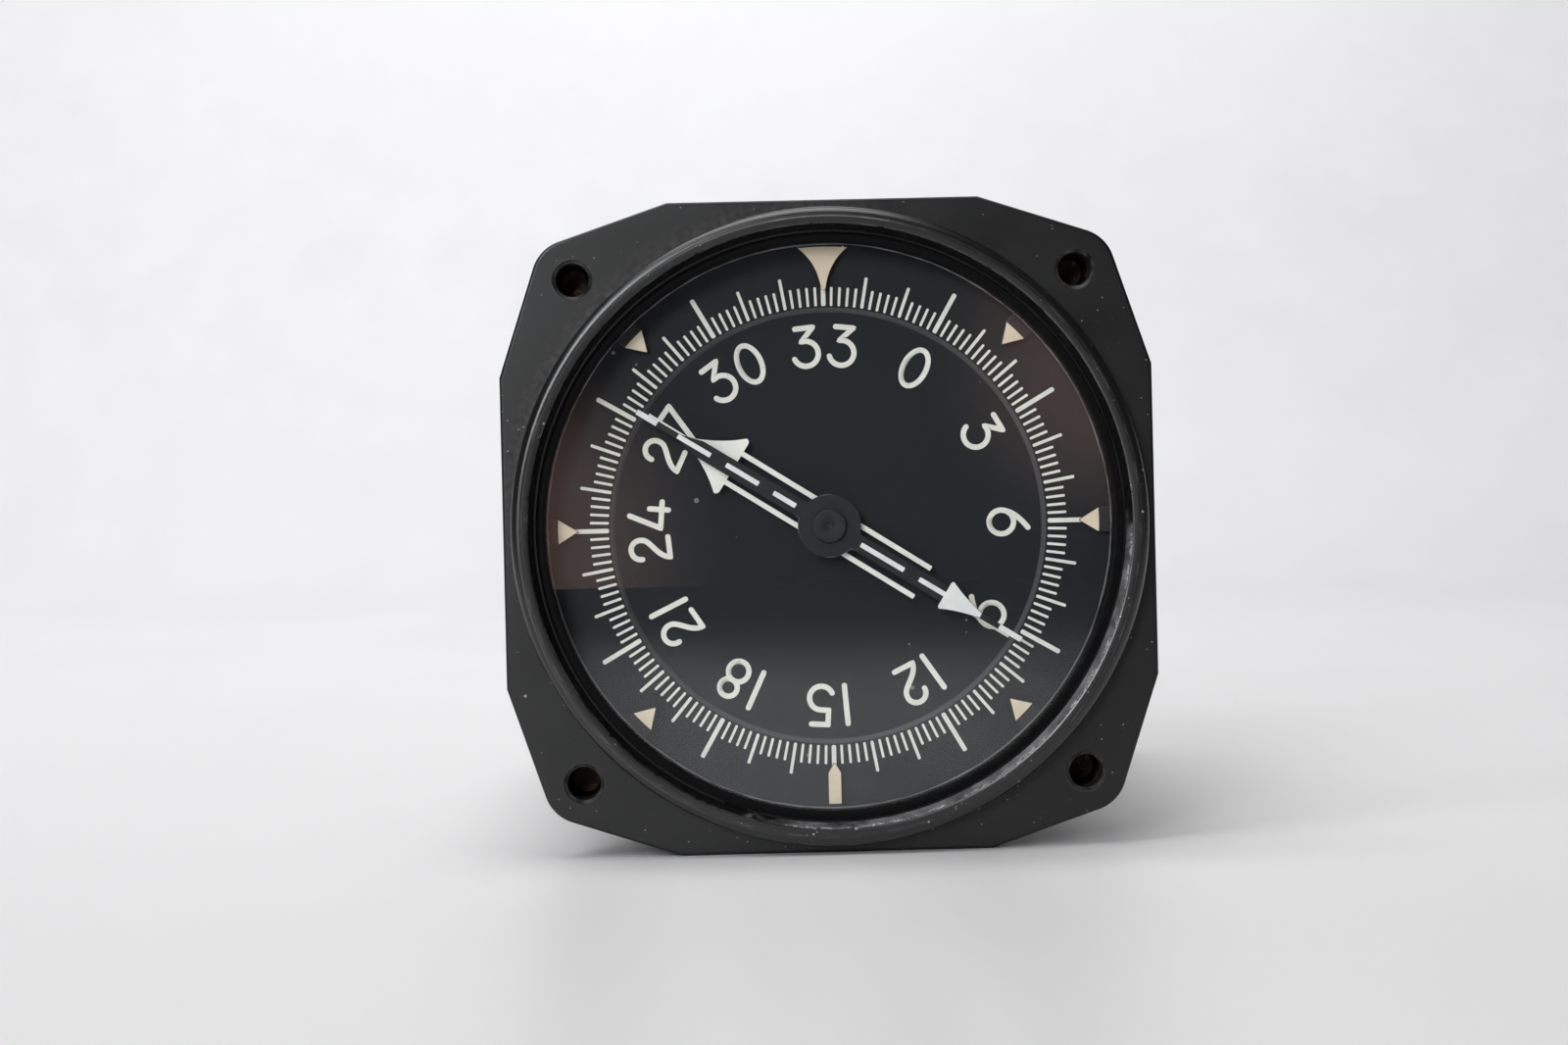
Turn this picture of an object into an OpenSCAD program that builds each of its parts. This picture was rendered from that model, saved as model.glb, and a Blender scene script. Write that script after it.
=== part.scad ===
// Round panel instrument: a compass card and two bearing pointers on concentric shafts.
// Y runs from the dial to the rear, X to the right and Z up as the dial is read.
// The origin is the centre of the four mounting holes, on the flange's front face.

/* [Bezel] */
// Diameter of the raised ring that passes through the panel
ring_d = 79.375; // [79:0.125:80]
// Height of the raised ring in front of the flange
ring_h = 4; // [3.6:0.1:6]
// Radius of the ring's outer front edge
ring_edge_r = 1.2; // [0.6:0.1:1.6]
// Width of the square flange over its flats
flange_w = 81.6; // [81:0.1:84]
// Thickness of the flange
flange_t = 4.8; // [4.2:0.1:6]
// Angle at which the flange's sides draw in towards the corner ears
flange_taper = 18.4; // [17.5:0.1:20]
// Radius of the corner ears
ear_r = 5.1; // [4.6:0.1:5.6]
// Broken edge of the flange
edge_break = 0.4; // [0.2:0.1:0.8]
// Side of the square of mounting holes
bolt_square = 62.865; // [62:0.005:63.5]
// Diameter of the mounting holes
bolt_hole_d = 4.2; // [3.4:0.1:4.6]
// Diameter of their countersinks
bolt_sink_d = 5.1; // [4.8:0.1:5.2]
// Wall of the raised ring round the glass
ring_wall = 2.19; // [2:0.01:2.6]
// Width of the lip that the glass rests on
lip_w = 2.1; // [1.8:0.1:2.4]
// Wall of the spigot that carries the case
spigot_wall = 1.4; // [1.2:0.1:1.6]

/* [Glass] */
// Thickness of the glass
glass_t = 2; // [1.5:0.1:3]
// Depth of the glass below the ring's front
glass_depth = 2.7; // [2.2:0.1:3.4]
// Thickness of the gasket behind the glass
glass_gasket_t = 0.5; // [0.3:0.1:1]
// Thickness of the retaining ring
retainer_t = 1; // [0.6:0.1:1.2]
// Width of the retaining ring
retainer_w = 1.2; // [0.8:0.1:1.6]
// Opening between the retaining ring's ends
retainer_gap = 3; // [1:0.5:8]
// Free distance from the glass to the pointer cap
glass_clear = 0.6; // [0.4:0.1:2]

/* [Compass card and marks] */
// Free distance round the card
card_clear = 0.3; // [0.2:0.05:1]
// Thickness of the card's rim
card_t = 1.5; // [1.2:0.1:2.2]
// Width of the card's raised rim with its slope
card_rim_w = 8.9; // [8:0.1:10]
// Depth of the card's step
card_step = 0.5; // [0.2:0.1:0.7]
// Distance from the fixed marks to the card
card_gap = 0.8; // [0.5:0.1:1.4]
// Thickness of the fixed marks' ring
index_t = 0.5; // [0.3:0.1:0.8]
// Width of the fixed marks' ring
index_rim_w = 0.9; // [0.6:0.1:1.2]
// Distance from the window's edge to the base of the triangular marks
index_inset = 1.4; // [1:0.1:2]
// Height of the triangular marks
index_h = 2.4; // [1.6:0.1:3]
// Width of the triangular marks
index_w = 3.1; // [2:0.1:4]
// Height of the top mark
lubber_h = 5.4; // [4.4:0.1:6]
// Width of the top mark
lubber_w = 6.4; // [5:0.1:8]
// Height of the bottom mark
bottom_mark_h = 5.2; // [4:0.1:6]
// Width of the bottom mark
bottom_mark_w = 1.6; // [1:0.1:2.4]

/* [Pointers] */
// Clock angle of the single-bar pointer
single_clock = 122; // [0:1:359]
// Clock angle of the double-bar pointer
double_clock = 302.7; // [0:0.1:359]
// Thickness of both pointers
pointer_t = 0.4; // [0.3:0.1:0.6]
// Free distance between the two pointers
pointer_gap = 0.8; // [0.7:0.1:1.5]
// Free distance from the double-bar pointer to the card
pointer_card_gap = 1.2; // [1:0.1:2]
// How far the single-bar pointer reaches out over the card's rim
single_over_rim = 1.2; // [0:0.1:1.6]
// Width of the single-bar pointer
single_w = 2.15; // [1.6:0.05:2.6]
// How far the double-bar pointer ends before the card's rim
double_short_of_rim = 0.3; // [0:0.1:2]
// Width over the two bars
double_w = 4.78; // [4.4:0.02:5.4]
// Width of each bar
bar_w = 0.64; // [0.4:0.02:0.9]
// Width of the single-bar pointer's needle ends
needle_w = 0.72; // [0.5:0.02:1]
// Radius at which the single-bar pointer's arrowhead begins
single_head_r = 16.85; // [15:0.05:18]
// Length of that arrowhead
single_head_l = 5.25; // [4:0.05:6]
// Width of that arrowhead
single_head_w = 3.9; // [3:0.1:5]
// Radius at which the double-bar pointer's arrowhead begins
double_head_r = 14; // [13:0.1:15]
// Length of that arrowhead
double_head_l = 6.8; // [5.6:0.1:8]
// Width of that arrowhead
double_head_w = 7.96; // [6.8:0.02:9]
// Diameter of the disc at the pointers' centre
hub_disc_d = 7.9; // [7:0.1:9]
// Diameter of the cap on the single-bar pointer
cap_d = 4.34; // [3.6:0.02:5]
// Height of the cap
cap_h = 0.8; // [0.6:0.1:1.4]

/* [Shafts and bearings] */
// Diameter of the single-bar pointer's shaft in front
single_shaft_d = 1.6; // [1.4:0.1:1.7]
// Diameter of that shaft in its synchro
single_journal_d = 3; // [2.6:0.1:3.4]
// Outer diameter of the double-bar pointer's hollow shaft
double_shaft_d = 3.8; // [3.6:0.1:3.9]
// Bore of that shaft
double_shaft_bore_d = 2.4; // [2.2:0.1:2.5]
// Outer diameter of the card's hollow shaft
card_shaft_d = 6.8; // [6.6:0.1:7.2]
// Bore of that shaft
card_shaft_bore_d = 4.8; // [4.6:0.1:5]
// Running clearance of a shaft in its bush, on the radius
run_fit = 0.03; // [0.02:0.01:0.06]
// Clearance of parts that seat in each other, on the radius
seat_fit = 0.02; // [0.01:0.01:0.04]
// Diameter of the bearing balls of the card shaft
card_ball_d = 1.4; // [1.2:0.1:1.6]
// Diameter of the bearing balls of the pointer shafts
ball_d = 1.1; // [1:0.1:1.3]

/* [Gear train] */
// Gear module
gear_module = 0.4; // [0.38:0.01:0.41]
// Pressure angle
pressure_angle = 20; // [18:1:22]
// Play between meshed teeth
backlash = 0.1; // [0.06:0.01:0.14]
// Teeth of the card gear
card_teeth = 90; // [88:2:92]
// Teeth of the idler pinion and of the motor pinion
pinion_teeth = 18; // [17:1:19]
// Teeth of the idler gear
idler_teeth = 60; // [56:2:64]
// Face width of the gears
gear_t = 1.6; // [1.2:0.1:2]
// Angle of the idler round the dial axis
idler_angle = 70; // [64:1:74]
// Space between the motor and the card synchro's flange
motor_gap = 0.8; // [0.4:0.1:1.6]

/* [Frame and synchros] */
// Thickness of the front plate
front_plate_t = 3.5; // [3.2:0.1:5]
// Thickness of the other plates
plate_t = 2.5; // [2:0.1:3.5]
// Diameter of the frame posts
post_d = 5; // [4:0.2:6]
// Distance from the plates' edge to the middle of the posts
post_inset = 3.4; // [3:0.1:4]
// Diameter of the synchros
synchro_d = 27; // [25:0.2:27.4]
// Length of the card synchro
card_synchro_l = 14; // [13:0.5:18]
// Length of each pointer synchro
pointer_synchro_l = 20; // [17:0.5:24]
// Diameter of the synchro rotors
rotor_d = 16.4; // [14:0.2:17]
// Gap between rotor and stator
air_gap = 0.3; // [0.25:0.05:0.5]
// Diameter of the servo motor
motor_d = 19; // [17:0.2:19.4]
// Length of the servo motor with its gearhead
motor_l = 40; // [36:0.5:46]

/* [Case] */
// How far the case lies inside the raised ring's outline
can_inset = 0.29; // [0.1:0.01:0.4]
// Wall of the case
can_wall = 0.9; // [0.7:0.05:0.95]
// Thickness of the flat gaskets of the case
can_gasket_t = 0.5; // [0.3:0.1:1]
// Free length behind the rear plate, for the transformer and the wiring
rear_space = 36.5; // [30:0.5:50]
// Thickness of the rear cover
rear_cover_t = 2; // [1.5:0.1:3]

/* [Connector] */
// Diameter of the connector shell
shell_d = 28.6; // [26:0.2:31]
// Wall of the connector shell
shell_wall = 1.7; // [1.2:0.1:2.4]
// Length of the shell behind the rear cover
shell_l = 13.5; // [12:0.5:18]
// Side of the connector's square flange
shell_flange_w = 35; // [34.4:0.2:38]
// Diameter of the contacts
contact_d = 1.6; // [1:0.1:2]

/* [Hidden] */
$fn = 96;
// How far a cut runs past the face it leaves
over = 0.5;

// Stack of the front, from the ring's front face to the rear of the front plate
ring_y = -ring_h;
glass_y = ring_y + glass_depth;
glass_rear_y = glass_y + glass_t;
seat_y = glass_rear_y + glass_gasket_t;
cap_y = glass_rear_y + glass_clear;
single_y = cap_y + cap_h;
double_y = single_y + pointer_t + pointer_gap;
card_y = double_y + pointer_t + pointer_card_gap;
card_floor_y = card_y + card_step;
card_rear_y = card_y + card_t;
card_hub_t = 1.9;
card_run = 0.3;
index_rear_y = card_y - card_gap;
lip_rear_y = index_rear_y - index_t;
front_plate_y = card_rear_y + card_hub_t + card_run;
front_plate_rear_y = front_plate_y + front_plate_t;
spigot_end_y = front_plate_rear_y + 0.9;

// Stack of the mechanism
card_gear_y = front_plate_rear_y + 1.5;
idler_gear_y = card_gear_y + gear_t + 1.8;
gear_plate_y = idler_gear_y + gear_t + 3.4;
gear_plate_rear_y = gear_plate_y + plate_t;
mid_plate_y = gear_plate_rear_y + card_synchro_l + 5.5;
mid_plate_rear_y = mid_plate_y + plate_t;
rear_synchro_y = mid_plate_rear_y + pointer_synchro_l + 1.5;
rear_plate_y = rear_synchro_y + pointer_synchro_l;
rear_plate_rear_y = rear_plate_y + plate_t;

// Case and bezel, from the outside in
ring_r = ring_d/2;
can_r = ring_r - can_inset;
can_in_r = can_r - can_wall;
case_fit = 0.1;
spigot_r = can_in_r - case_fit;
spigot_bore_r = spigot_r - spigot_wall;
front_plate_r = spigot_bore_r - case_fit/2;
bore_r = ring_r - ring_wall;
window_r = bore_r - lip_w;
bore_bevel = 0.3;

// Glass and its retaining ring, which springs into a groove of the bore
glass_fit = 0.2;
glass_r = bore_r - glass_fit;
glass_bevel = 0.25;
gasket_over_lip = 0.2;
groove_depth = 0.35;
retainer_fit = 0.05;
retainer_r = bore_r + groove_depth - retainer_fit;
retainer_clock = 200;

// Dial: the marks' ring, the spacer behind it and the card inside the spacer
index_out_r = spigot_bore_r - case_fit;
index_in_r = index_out_r - index_rim_w;
index_base_r = window_r - index_inset;
index_tip_w = 0.24;
index_clocks = [45, 90, 135, 225, 270, 315];
lubber_base_r = window_r - 0.3;
lubber_tip_r = lubber_base_r - lubber_h;
lubber_tip_w = 0.5;
bottom_mark_point = 1.2;
mark_root = 0.4;
spacer_wall = 0.8;
spacer_r = index_out_r - spacer_wall;
card_r = spacer_r - card_clear;
card_foot_r = card_r - card_rim_w;
card_edge = 0.1;

// Case behind the mechanism
can_y = flange_t + can_gasket_t;
can_end_y = rear_plate_rear_y + rear_space;
can_rim_t = 2.5;
can_rim_w = 4.5;
can_rim_r = can_in_r - can_rim_w;
cover_y = can_end_y + can_gasket_t;
cover_rear_y = cover_y + rear_cover_t;
cover_screw_r = can_in_r - can_rim_w/2;
cover_screw_angles = [0:60:300];

// Connector
shell_end_y = cover_rear_y + shell_l;
shell_r = shell_d/2;
shell_in_r = shell_r - shell_wall;
shell_flange_t = 2;
shell_neck_l = 2;
shell_thread = 0.5;
shell_screw_r = (shell_flange_w/2 - 4)*sqrt(2);
shell_screw_angles = [45:90:315];
insert_y = cover_y - 2.5;
insert_end_y = cover_rear_y + 4;
contact_y = insert_y - 3;
contact_end_y = insert_end_y + 4;
contact_ring_r = shell_in_r*0.37;

// Bearings: a race of the shaft, a race of the housing and the balls between them
race_wall = 0.8;
ball_gap = 0.02;
bearing_w = 2.6;
ball_count = 8;
card_bearing = [card_shaft_d/2, card_ball_d];
double_bearing = [double_shaft_d/2, ball_d];
single_bearing = [single_journal_d/2, ball_d];
function race_in_r(b) = b[0] + seat_fit + race_wall;
function ball_circle_r(b) = race_in_r(b) + b[1]/2 + ball_gap;
function race_out_r(b) = race_in_r(b) + b[1] + 2*ball_gap;
function bearing_r(b) = race_out_r(b) + race_wall;

// Synchros
synchro_r = synchro_d/2;
synchro_wall = 0.6;
synchro_in_r = synchro_r - synchro_wall;
synchro_flange_w = 1;
synchro_flange_r = synchro_r + synchro_flange_w;
synchro_flange_t = 1.5;
cap_t = 3.2;
rotor_r = rotor_d/2;
stator_r = rotor_r + air_gap;
stator_margin = 2.6;
card_stator_margin = 2;
cap_register = 0.8;
clamp_gap = 2.6;
clamp_circle_r = synchro_flange_r + clamp_gap;
clamp_angles = [85, 205, 325];
clamp_t = synchro_flange_t + 1;
clamp_w = 5;
clamp_heel_w = 2.2;
clamp_hook_w = 0.7;
clamp_clear = 0.3;

// Bearing places, as distances along the shafts
bearing_inset = 0.3;
card_front_bearing_y = front_plate_y + bearing_inset;
card_rear_bearing_y = gear_plate_rear_y + card_synchro_l - bearing_w;
double_front_bearing_y = mid_plate_rear_y + bearing_inset;
double_rear_bearing_y = mid_plate_rear_y + pointer_synchro_l - bearing_w;
single_front_bearing_y = rear_synchro_y;
single_rear_bearing_y = rear_plate_y - bearing_inset - bearing_w;

bearing_places = [[card_bearing, card_front_bearing_y], [card_bearing, card_rear_bearing_y],
    [double_bearing, double_front_bearing_y], [double_bearing, double_rear_bearing_y],
    [single_bearing, single_front_bearing_y], [single_bearing, single_rear_bearing_y]];

// Shafts and the bushes between them
shaft_inset = 0.2;
shaft_end = 0.4;
shaft_bush_l = 3.1;
card_hub_r = 9;
cap_face_t = 0.3;
dimple_r = 0.45;

// Pointers
single_reach = card_foot_r + single_over_rim;
double_reach = card_foot_r - double_short_of_rim;
single_head_corner = 0.35;
double_head_corner = 0.5;
tail_shoulder_r = 19;
tail_neck_r = 21.8;
double_hub_r = hub_disc_d/2 - 0.6;
double_hub_t = 0.7;

// Gear geometry
addendum = 0.8*gear_module;
dedendum = gear_module;
card_gear_r = card_teeth*gear_module/2;
pinion_r = pinion_teeth*gear_module/2;
idler_r = idler_teeth*gear_module/2;
idler_offset = card_gear_r + pinion_r;
mesh_distance = idler_r + pinion_r;
motor_r = motor_d/2;
motor_offset = synchro_flange_r + motor_gap + motor_r;
motor_swing = acos((idler_offset^2 + motor_offset^2 - mesh_distance^2)/(2*idler_offset*motor_offset));
motor_angle = idler_angle - motor_swing;
idler_at = idler_offset*[cos(idler_angle), sin(idler_angle)];
motor_at = motor_offset*[cos(motor_angle), sin(motor_angle)];
mesh_line = atan2(motor_at[1] - idler_at[1], motor_at[0] - idler_at[0]);
pinion_phase = mesh_phase(0, card_teeth, pinion_teeth, idler_angle);
motor_phase = mesh_phase(0, idler_teeth, pinion_teeth, mesh_line);
function mesh_phase(phase, teeth, mate_teeth, line) = line + 180 + (180 - (phase - line)*teeth)/mate_teeth;

gear_boss_w = 1.8;
gear_boss_l = 1.4;
card_gear_hole_r = 3;
idler_gear_hole_r = 2;
pinion_overrun = 0.3;

// Stator slots, windings and rotor coils
slot_count = 12;
slot_w = 1.8;
slot_back = 1.4;
slot_out_r = synchro_in_r - slot_back;
slot_liner = 0.1;
card_winding_overhang = 1.1;
winding_overhang = 1.6;
rotor_shoe_t = 2.8;
rotor_overhang = 0.8;
rotor_coil_inset = 1;
card_core_y = gear_plate_rear_y + cap_t + card_stator_margin;
card_core_l = card_synchro_l - 2*cap_t - 2*card_stator_margin;
pointer_core_l = pointer_synchro_l - 2*cap_t - 2*stator_margin;
double_core_y = mid_plate_rear_y + cap_t + stator_margin;
single_core_y = rear_synchro_y + cap_t + stator_margin;

// Servo motor
motor_step = 0.5;
gearhead_l = 12.8;
motor_end_l = 3;
motor_pilot_r = 4.95;
motor_shaft_r = 1.2;
motor_bore_l = 8;
motor_clear = 0.6;
motor_screw_r = motor_r - 2;
motor_screw_angles = [60:120:300];
motor_screw_depth = 3.5;

// Frame
plate_clear = 1.6;
rear_plate_clear = 0.25;
plate_r = can_in_r - plate_clear;
rear_plate_r = can_in_r - rear_plate_clear;
post_r = post_d/2;
post_circle_r = plate_r - post_inset;
post_angles = [100, 220, 340];
stud_r = 1.2;
stud_l = 3;
stud_clear = 1;
screw_r = 1;
screw_head_r = 1.9;
screw_head_h = 1.2;
screw_slot_w = 0.5;
screw_fit = 0.05;
frame_sink_fit = 0.1;
case_screw_angles = [45, 135, 225, 315];
case_screw_y = front_plate_y + front_plate_t/2;
case_screw_l = 5;
bush_r = 2;
bush_flange_r = 3;
bush_flange_t = 0.6;
pivot_r = 1;
idler_shaft_r = 1.6;

// Holes that lighten the plates, and the bores the shafts pass through
window_hole_r = 5;
front_window_circle_r = 22;
front_window_angles = [150, 190, 270, 310];
plate_window_circle_r = 25;
gear_window_angles = [145, 180, 265, 300];
mid_window_angles = [130, 250, 295];
rear_window_angles = [20, 60, 130, 250, 295];
plate_bore_w = 2.5;

// Servo amplifier: a board beside the pointer synchros, on four angle brackets
board_t = 1.6;
board_w = 36;
board_x = -(synchro_flange_r + 13.3);
board_edge = 0.3;
board_from_y = mid_plate_rear_y + 1.5;
board_to_y = rear_plate_y - 1.5;
board_mid_y = (board_from_y + board_to_y)/2;
transistor_ys = [board_mid_y - 9.5, board_mid_y + 2];
transistor_z = 10.5;
transistor_r = 4.1;
transistor_h = 6.4;
transistor_rim_w = 0.5;
transistor_rim_t = 0.8;
large_cap_r = 3;
large_cap_l = 10.5;
large_cap_z = 6;
small_cap_r = 2;
small_cap_l = 9;
small_cap_z = 3;
bracket_z = 13;
bracket_w = 6;
bracket_leg = 6;
bracket_t = 1.2;

// Transformer
core_w = 28;
core_l = 18;
core_h = 24;
coil_w = 20;
coil_h = 32;
core_foot_w = 4.6;
core_foot_t = 1.2;

// Places things: drawn as seen from the front, with depth running to the rear
module facing() {
    rotate([90, 0, 0]) mirror([0, 0, 1]) children();
}

module at_y(y) {
    facing() translate([0, 0, y]) children();
}

module at_clock(clock) {
    rotate([0, 0, -clock]) children();
}

module around(angles, radius) {
    for (a = angles) rotate([0, 0, a]) translate([radius, 0, 0]) children();
}

// Turned ring between two radii and two depths
module ring(r_out, r_in, y_from, y_to) {
    facing() rotate_extrude() translate([r_in, y_from]) square([r_out - r_in, y_to - y_from]);
}

module disc(r, y_from, y_to) {
    at_y(y_from) cylinder(r = r, h = y_to - y_from);
}

// Flat piece of one thickness, made up of several outlines
module sheet(t) {
    for (i = [0:$children - 1]) linear_extrude(t) children(i);
}

// Points of an arc
function arc(centre, r, from, to, steps) =
    [for (i = [0:steps]) centre + r*[cos(from + (to - from)*i/steps), sin(from + (to - from)*i/steps)]];
function curve(a, b, c, steps) =
    [for (i = [0:steps]) let (t = i/steps) (1 - t)^2*a + 2*t*(1 - t)*b + t^2*c];
function turn(points, angle) =
    [for (p = points) [p[0]*cos(angle) - p[1]*sin(angle), p[0]*sin(angle) + p[1]*cos(angle)]];
function both_sides(right) =
    concat(right, [for (i = [len(right) - 1:-1:0]) [-right[i][0], right[i][1]]]);

// Solid through outlines of equal point counts, given as [depth, points]
module loft(sections) {
    n = len(sections[0][1]);
    last = len(sections) - 1;
    points = [for (s = sections) for (p = s[1]) [p[0], p[1], s[0]]];
    sides = [for (k = [0:last - 1]) for (i = [0:n - 1])
        [(k + 1)*n + i, (k + 1)*n + (i + 1)%n, k*n + (i + 1)%n, k*n + i]];
    bottom = [for (i = [0:n - 1]) i];
    top = [for (i = [n - 1:-1:0]) last*n + i];
    polyhedron(points, concat([bottom], sides, [top]));
}

// Flange outline: four flats, and sides that run in tangent to the ears
function flange_quarter(inset) =
    let (hole = bolt_square/2, w = flange_w/2 - inset, r = ear_r - inset)
    let (flat = (hole*(sin(flange_taper) + cos(flange_taper)) + r - w*cos(flange_taper))/sin(flange_taper))
    concat([[flat, w]], arc([hole, hole], r, 90 - flange_taper, flange_taper, 10), [[w, flat]]);
function flange_outline(inset) =
    let (loop = [for (k = [0:3]) each turn(flange_quarter(inset), -k*360/4)])
    [for (i = [len(loop) - 1:-1:0]) loop[i]];

module flange_plate() {
    facing() loft([[0, flange_outline(edge_break)], [edge_break, flange_outline(0)],
        [flange_t - edge_break, flange_outline(0)], [flange_t, flange_outline(edge_break)]]);
}

// The turned part of the bezel, outside and bore
module bezel_turning() {
    edge = arc([ring_r - ring_edge_r, ring_y + ring_edge_r], ring_edge_r, 0, -90, 9);
    front = concat([[spigot_r, spigot_end_y], [spigot_r, flange_t/2], [ring_r, flange_t/2]], edge);
    bore = [[bore_r + bore_bevel, ring_y], [bore_r, ring_y + bore_bevel], [bore_r, seat_y],
        [window_r, seat_y], [window_r, lip_rear_y], [spigot_bore_r, lip_rear_y],
        [spigot_bore_r, spigot_end_y]];
    facing() rotate_extrude() polygon(concat(front, bore));
}

module bezel_bore() {
    disc(bore_r, ring_y - over, seat_y);
    disc(window_r, seat_y - over, lip_rear_y + over);
    disc(spigot_bore_r, lip_rear_y, spigot_end_y + over);
}

module bolt_holes() {
    sink = (bolt_sink_d - bolt_hole_d)/2;
    facing() for (x = [-1, 1]) for (y = [-1, 1]) translate([x, y, 0]*bolt_square/2) {
        translate([0, 0, -over]) cylinder(d = bolt_hole_d, h = flange_t + 2*over);
        translate([0, 0, -over]) cylinder(r1 = bolt_sink_d/2 + over, r2 = bolt_hole_d/2, h = sink + over);
    }
}

// Space of the four radial screws, grown by a clearance
module case_screw_space(clear) {
    inner = front_plate_r - case_screw_l;
    head = screw_head_r - screw_r;
    at_y(case_screw_y) for (a = case_screw_angles) rotate([0, 0, a]) rotate([0, 90, 0]) {
        translate([0, 0, inner - clear]) cylinder(r = screw_r + clear, h = can_r - inner - head + clear);
        translate([0, 0, can_r - head - clear])
            cylinder(r1 = screw_r + clear, r2 = screw_head_r + clear, h = head);
        translate([0, 0, can_r - clear]) cylinder(r = screw_head_r + clear, h = clear*20);
    }
}

module bezel() {
    color([0.06, 0.06, 0.065]) difference() {
        union() {
            difference() {
                flange_plate();
                bezel_bore();
            }
            bezel_turning();
        }
        ring(bore_r + groove_depth, bore_r - over, glass_y - retainer_t - 2*retainer_fit, glass_y);
        bolt_holes();
        case_screw_space(screw_fit);
    }
}

module glass_retaining_ring() {
    front = glass_y - retainer_fit - retainer_t;
    color([0.45, 0.45, 0.44]) difference() {
        ring(retainer_r, retainer_r - retainer_w, front, front + retainer_t);
        at_y(front - over) at_clock(retainer_clock) translate([-retainer_gap/2, 0, 0])
            cube([retainer_gap, ring_r, retainer_t + 2*over]);
    }
}

module cover_glass() {
    color([0.8, 0.85, 0.86, 0.35]) facing() rotate_extrude() polygon([[0, glass_y],
        [glass_r - glass_bevel, glass_y], [glass_r, glass_y + glass_bevel],
        [glass_r, glass_rear_y - glass_bevel], [glass_r - glass_bevel, glass_rear_y],
        [0, glass_rear_y]]);
}

module glass_gasket() {
    color([0.03, 0.03, 0.03]) ring(glass_r, window_r - gasket_over_lip, glass_rear_y, seat_y);
}

// Fixed marks: a ring behind the lip, with tabs that reach in over the card
function tab_outline(w, base_r, tip_r) =
    both_sides([[index_tip_w/2, tip_r], [w/2, base_r], [w/2, index_in_r + mark_root]]);
function lubber_outline() =
    both_sides(concat(curve([lubber_tip_w/2, lubber_tip_r],
        [0.22*lubber_w/2, lubber_tip_r + 0.63*lubber_h], [lubber_w/2, lubber_base_r], 8),
        [[lubber_w/2, index_in_r + mark_root]]));

module index_ring() {
    bottom_tip_r = lubber_base_r - bottom_mark_h;
    color([0.09, 0.085, 0.07]) at_y(lip_rear_y) linear_extrude(index_t) difference() {
        circle(r = index_out_r);
        difference() {
            circle(r = index_in_r);
            for (c = index_clocks) at_clock(c)
                polygon(tab_outline(index_w, index_base_r, index_base_r - index_h));
            polygon(lubber_outline());
            at_clock(180) polygon(tab_outline(bottom_mark_w, bottom_tip_r + bottom_mark_point, bottom_tip_r));
        }
    }
}

module dial_spacer() {
    color([0.08, 0.08, 0.085]) ring(index_out_r, spacer_r, index_rear_y, front_plate_y);
}

// Holes of one radius through a plate that starts at depth y and is t thick
module holes(y, t, r, angles, circle_r) {
    at_y(y - over) around(angles, circle_r) cylinder(r = r, h = t + 2*over);
}

module hole_at(y, t, r, place) {
    at_y(y - over) translate(place) cylinder(r = r, h = t + 2*over);
}

module front_plate() {
    b = card_bearing;
    sink_r = screw_head_r + 2*frame_sink_fit;
    color([0.62, 0.63, 0.65]) difference() {
        disc(front_plate_r, front_plate_y, front_plate_rear_y);
        disc(bearing_r(b) + seat_fit, card_front_bearing_y, front_plate_rear_y + over);
        disc(race_out_r(b), front_plate_y - over, card_front_bearing_y + over);
        hole_at(front_plate_y, front_plate_t, bush_r + seat_fit, idler_at);
        holes(front_plate_y, front_plate_t, window_hole_r, front_window_angles, front_window_circle_r);
        holes(front_plate_y, front_plate_t, stud_r + screw_fit, post_angles, post_circle_r);
        at_y(front_plate_y - over) around(post_angles, post_circle_r)
            cylinder(r1 = sink_r + over, r2 = stud_r + screw_fit, h = over + sink_r - stud_r);
        case_screw_space(screw_fit);
    }
}

module case_screws() {
    color([0.35, 0.35, 0.36]) intersection() {
        case_screw_space(0);
        disc(can_r - screw_fit, case_screw_y - 2*screw_head_r, case_screw_y + 2*screw_head_r);
    }
}

module case_can() {
    color([0.07, 0.07, 0.075]) difference() {
        union() {
            ring(can_r, can_in_r, can_y, can_end_y);
            ring(can_in_r + can_wall/2, can_rim_r, can_end_y - can_rim_t, can_end_y);
        }
        case_screw_space(screw_fit);
        holes(can_end_y - can_rim_t, can_rim_t, screw_r + screw_fit, cover_screw_angles, cover_screw_r);
    }
}

module can_gasket() {
    color([0.04, 0.04, 0.04]) ring(can_r, spigot_r + seat_fit, flange_t, can_y);
}

module rear_cover() {
    color([0.07, 0.07, 0.075]) difference() {
        disc(can_r, cover_y, cover_rear_y);
        disc(shell_in_r + seat_fit, cover_y - over, cover_rear_y + over);
        holes(cover_y, rear_cover_t, screw_r + screw_fit, cover_screw_angles, cover_screw_r);
        holes(cover_y, rear_cover_t, screw_r + screw_fit, shell_screw_angles, shell_screw_r);
    }
}

module rear_cover_gasket() {
    color([0.04, 0.04, 0.04]) difference() {
        ring(can_r, can_rim_r, can_end_y, cover_y);
        holes(can_end_y, can_gasket_t, screw_r + screw_fit, cover_screw_angles, cover_screw_r);
    }
}

// Cheese-head screw seen from its head, with a slot; its head stands on depth 0
module screw(shank_l, head_h) {
    difference() {
        union() {
            translate([0, 0, -shank_l]) cylinder(r = screw_r, h = shank_l + head_h/2);
            cylinder(r = screw_head_r, h = head_h);
        }
        translate([-screw_head_r - over, -screw_slot_w/2, head_h/2])
            cube([2*(screw_head_r + over), screw_slot_w, head_h]);
    }
}

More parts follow.
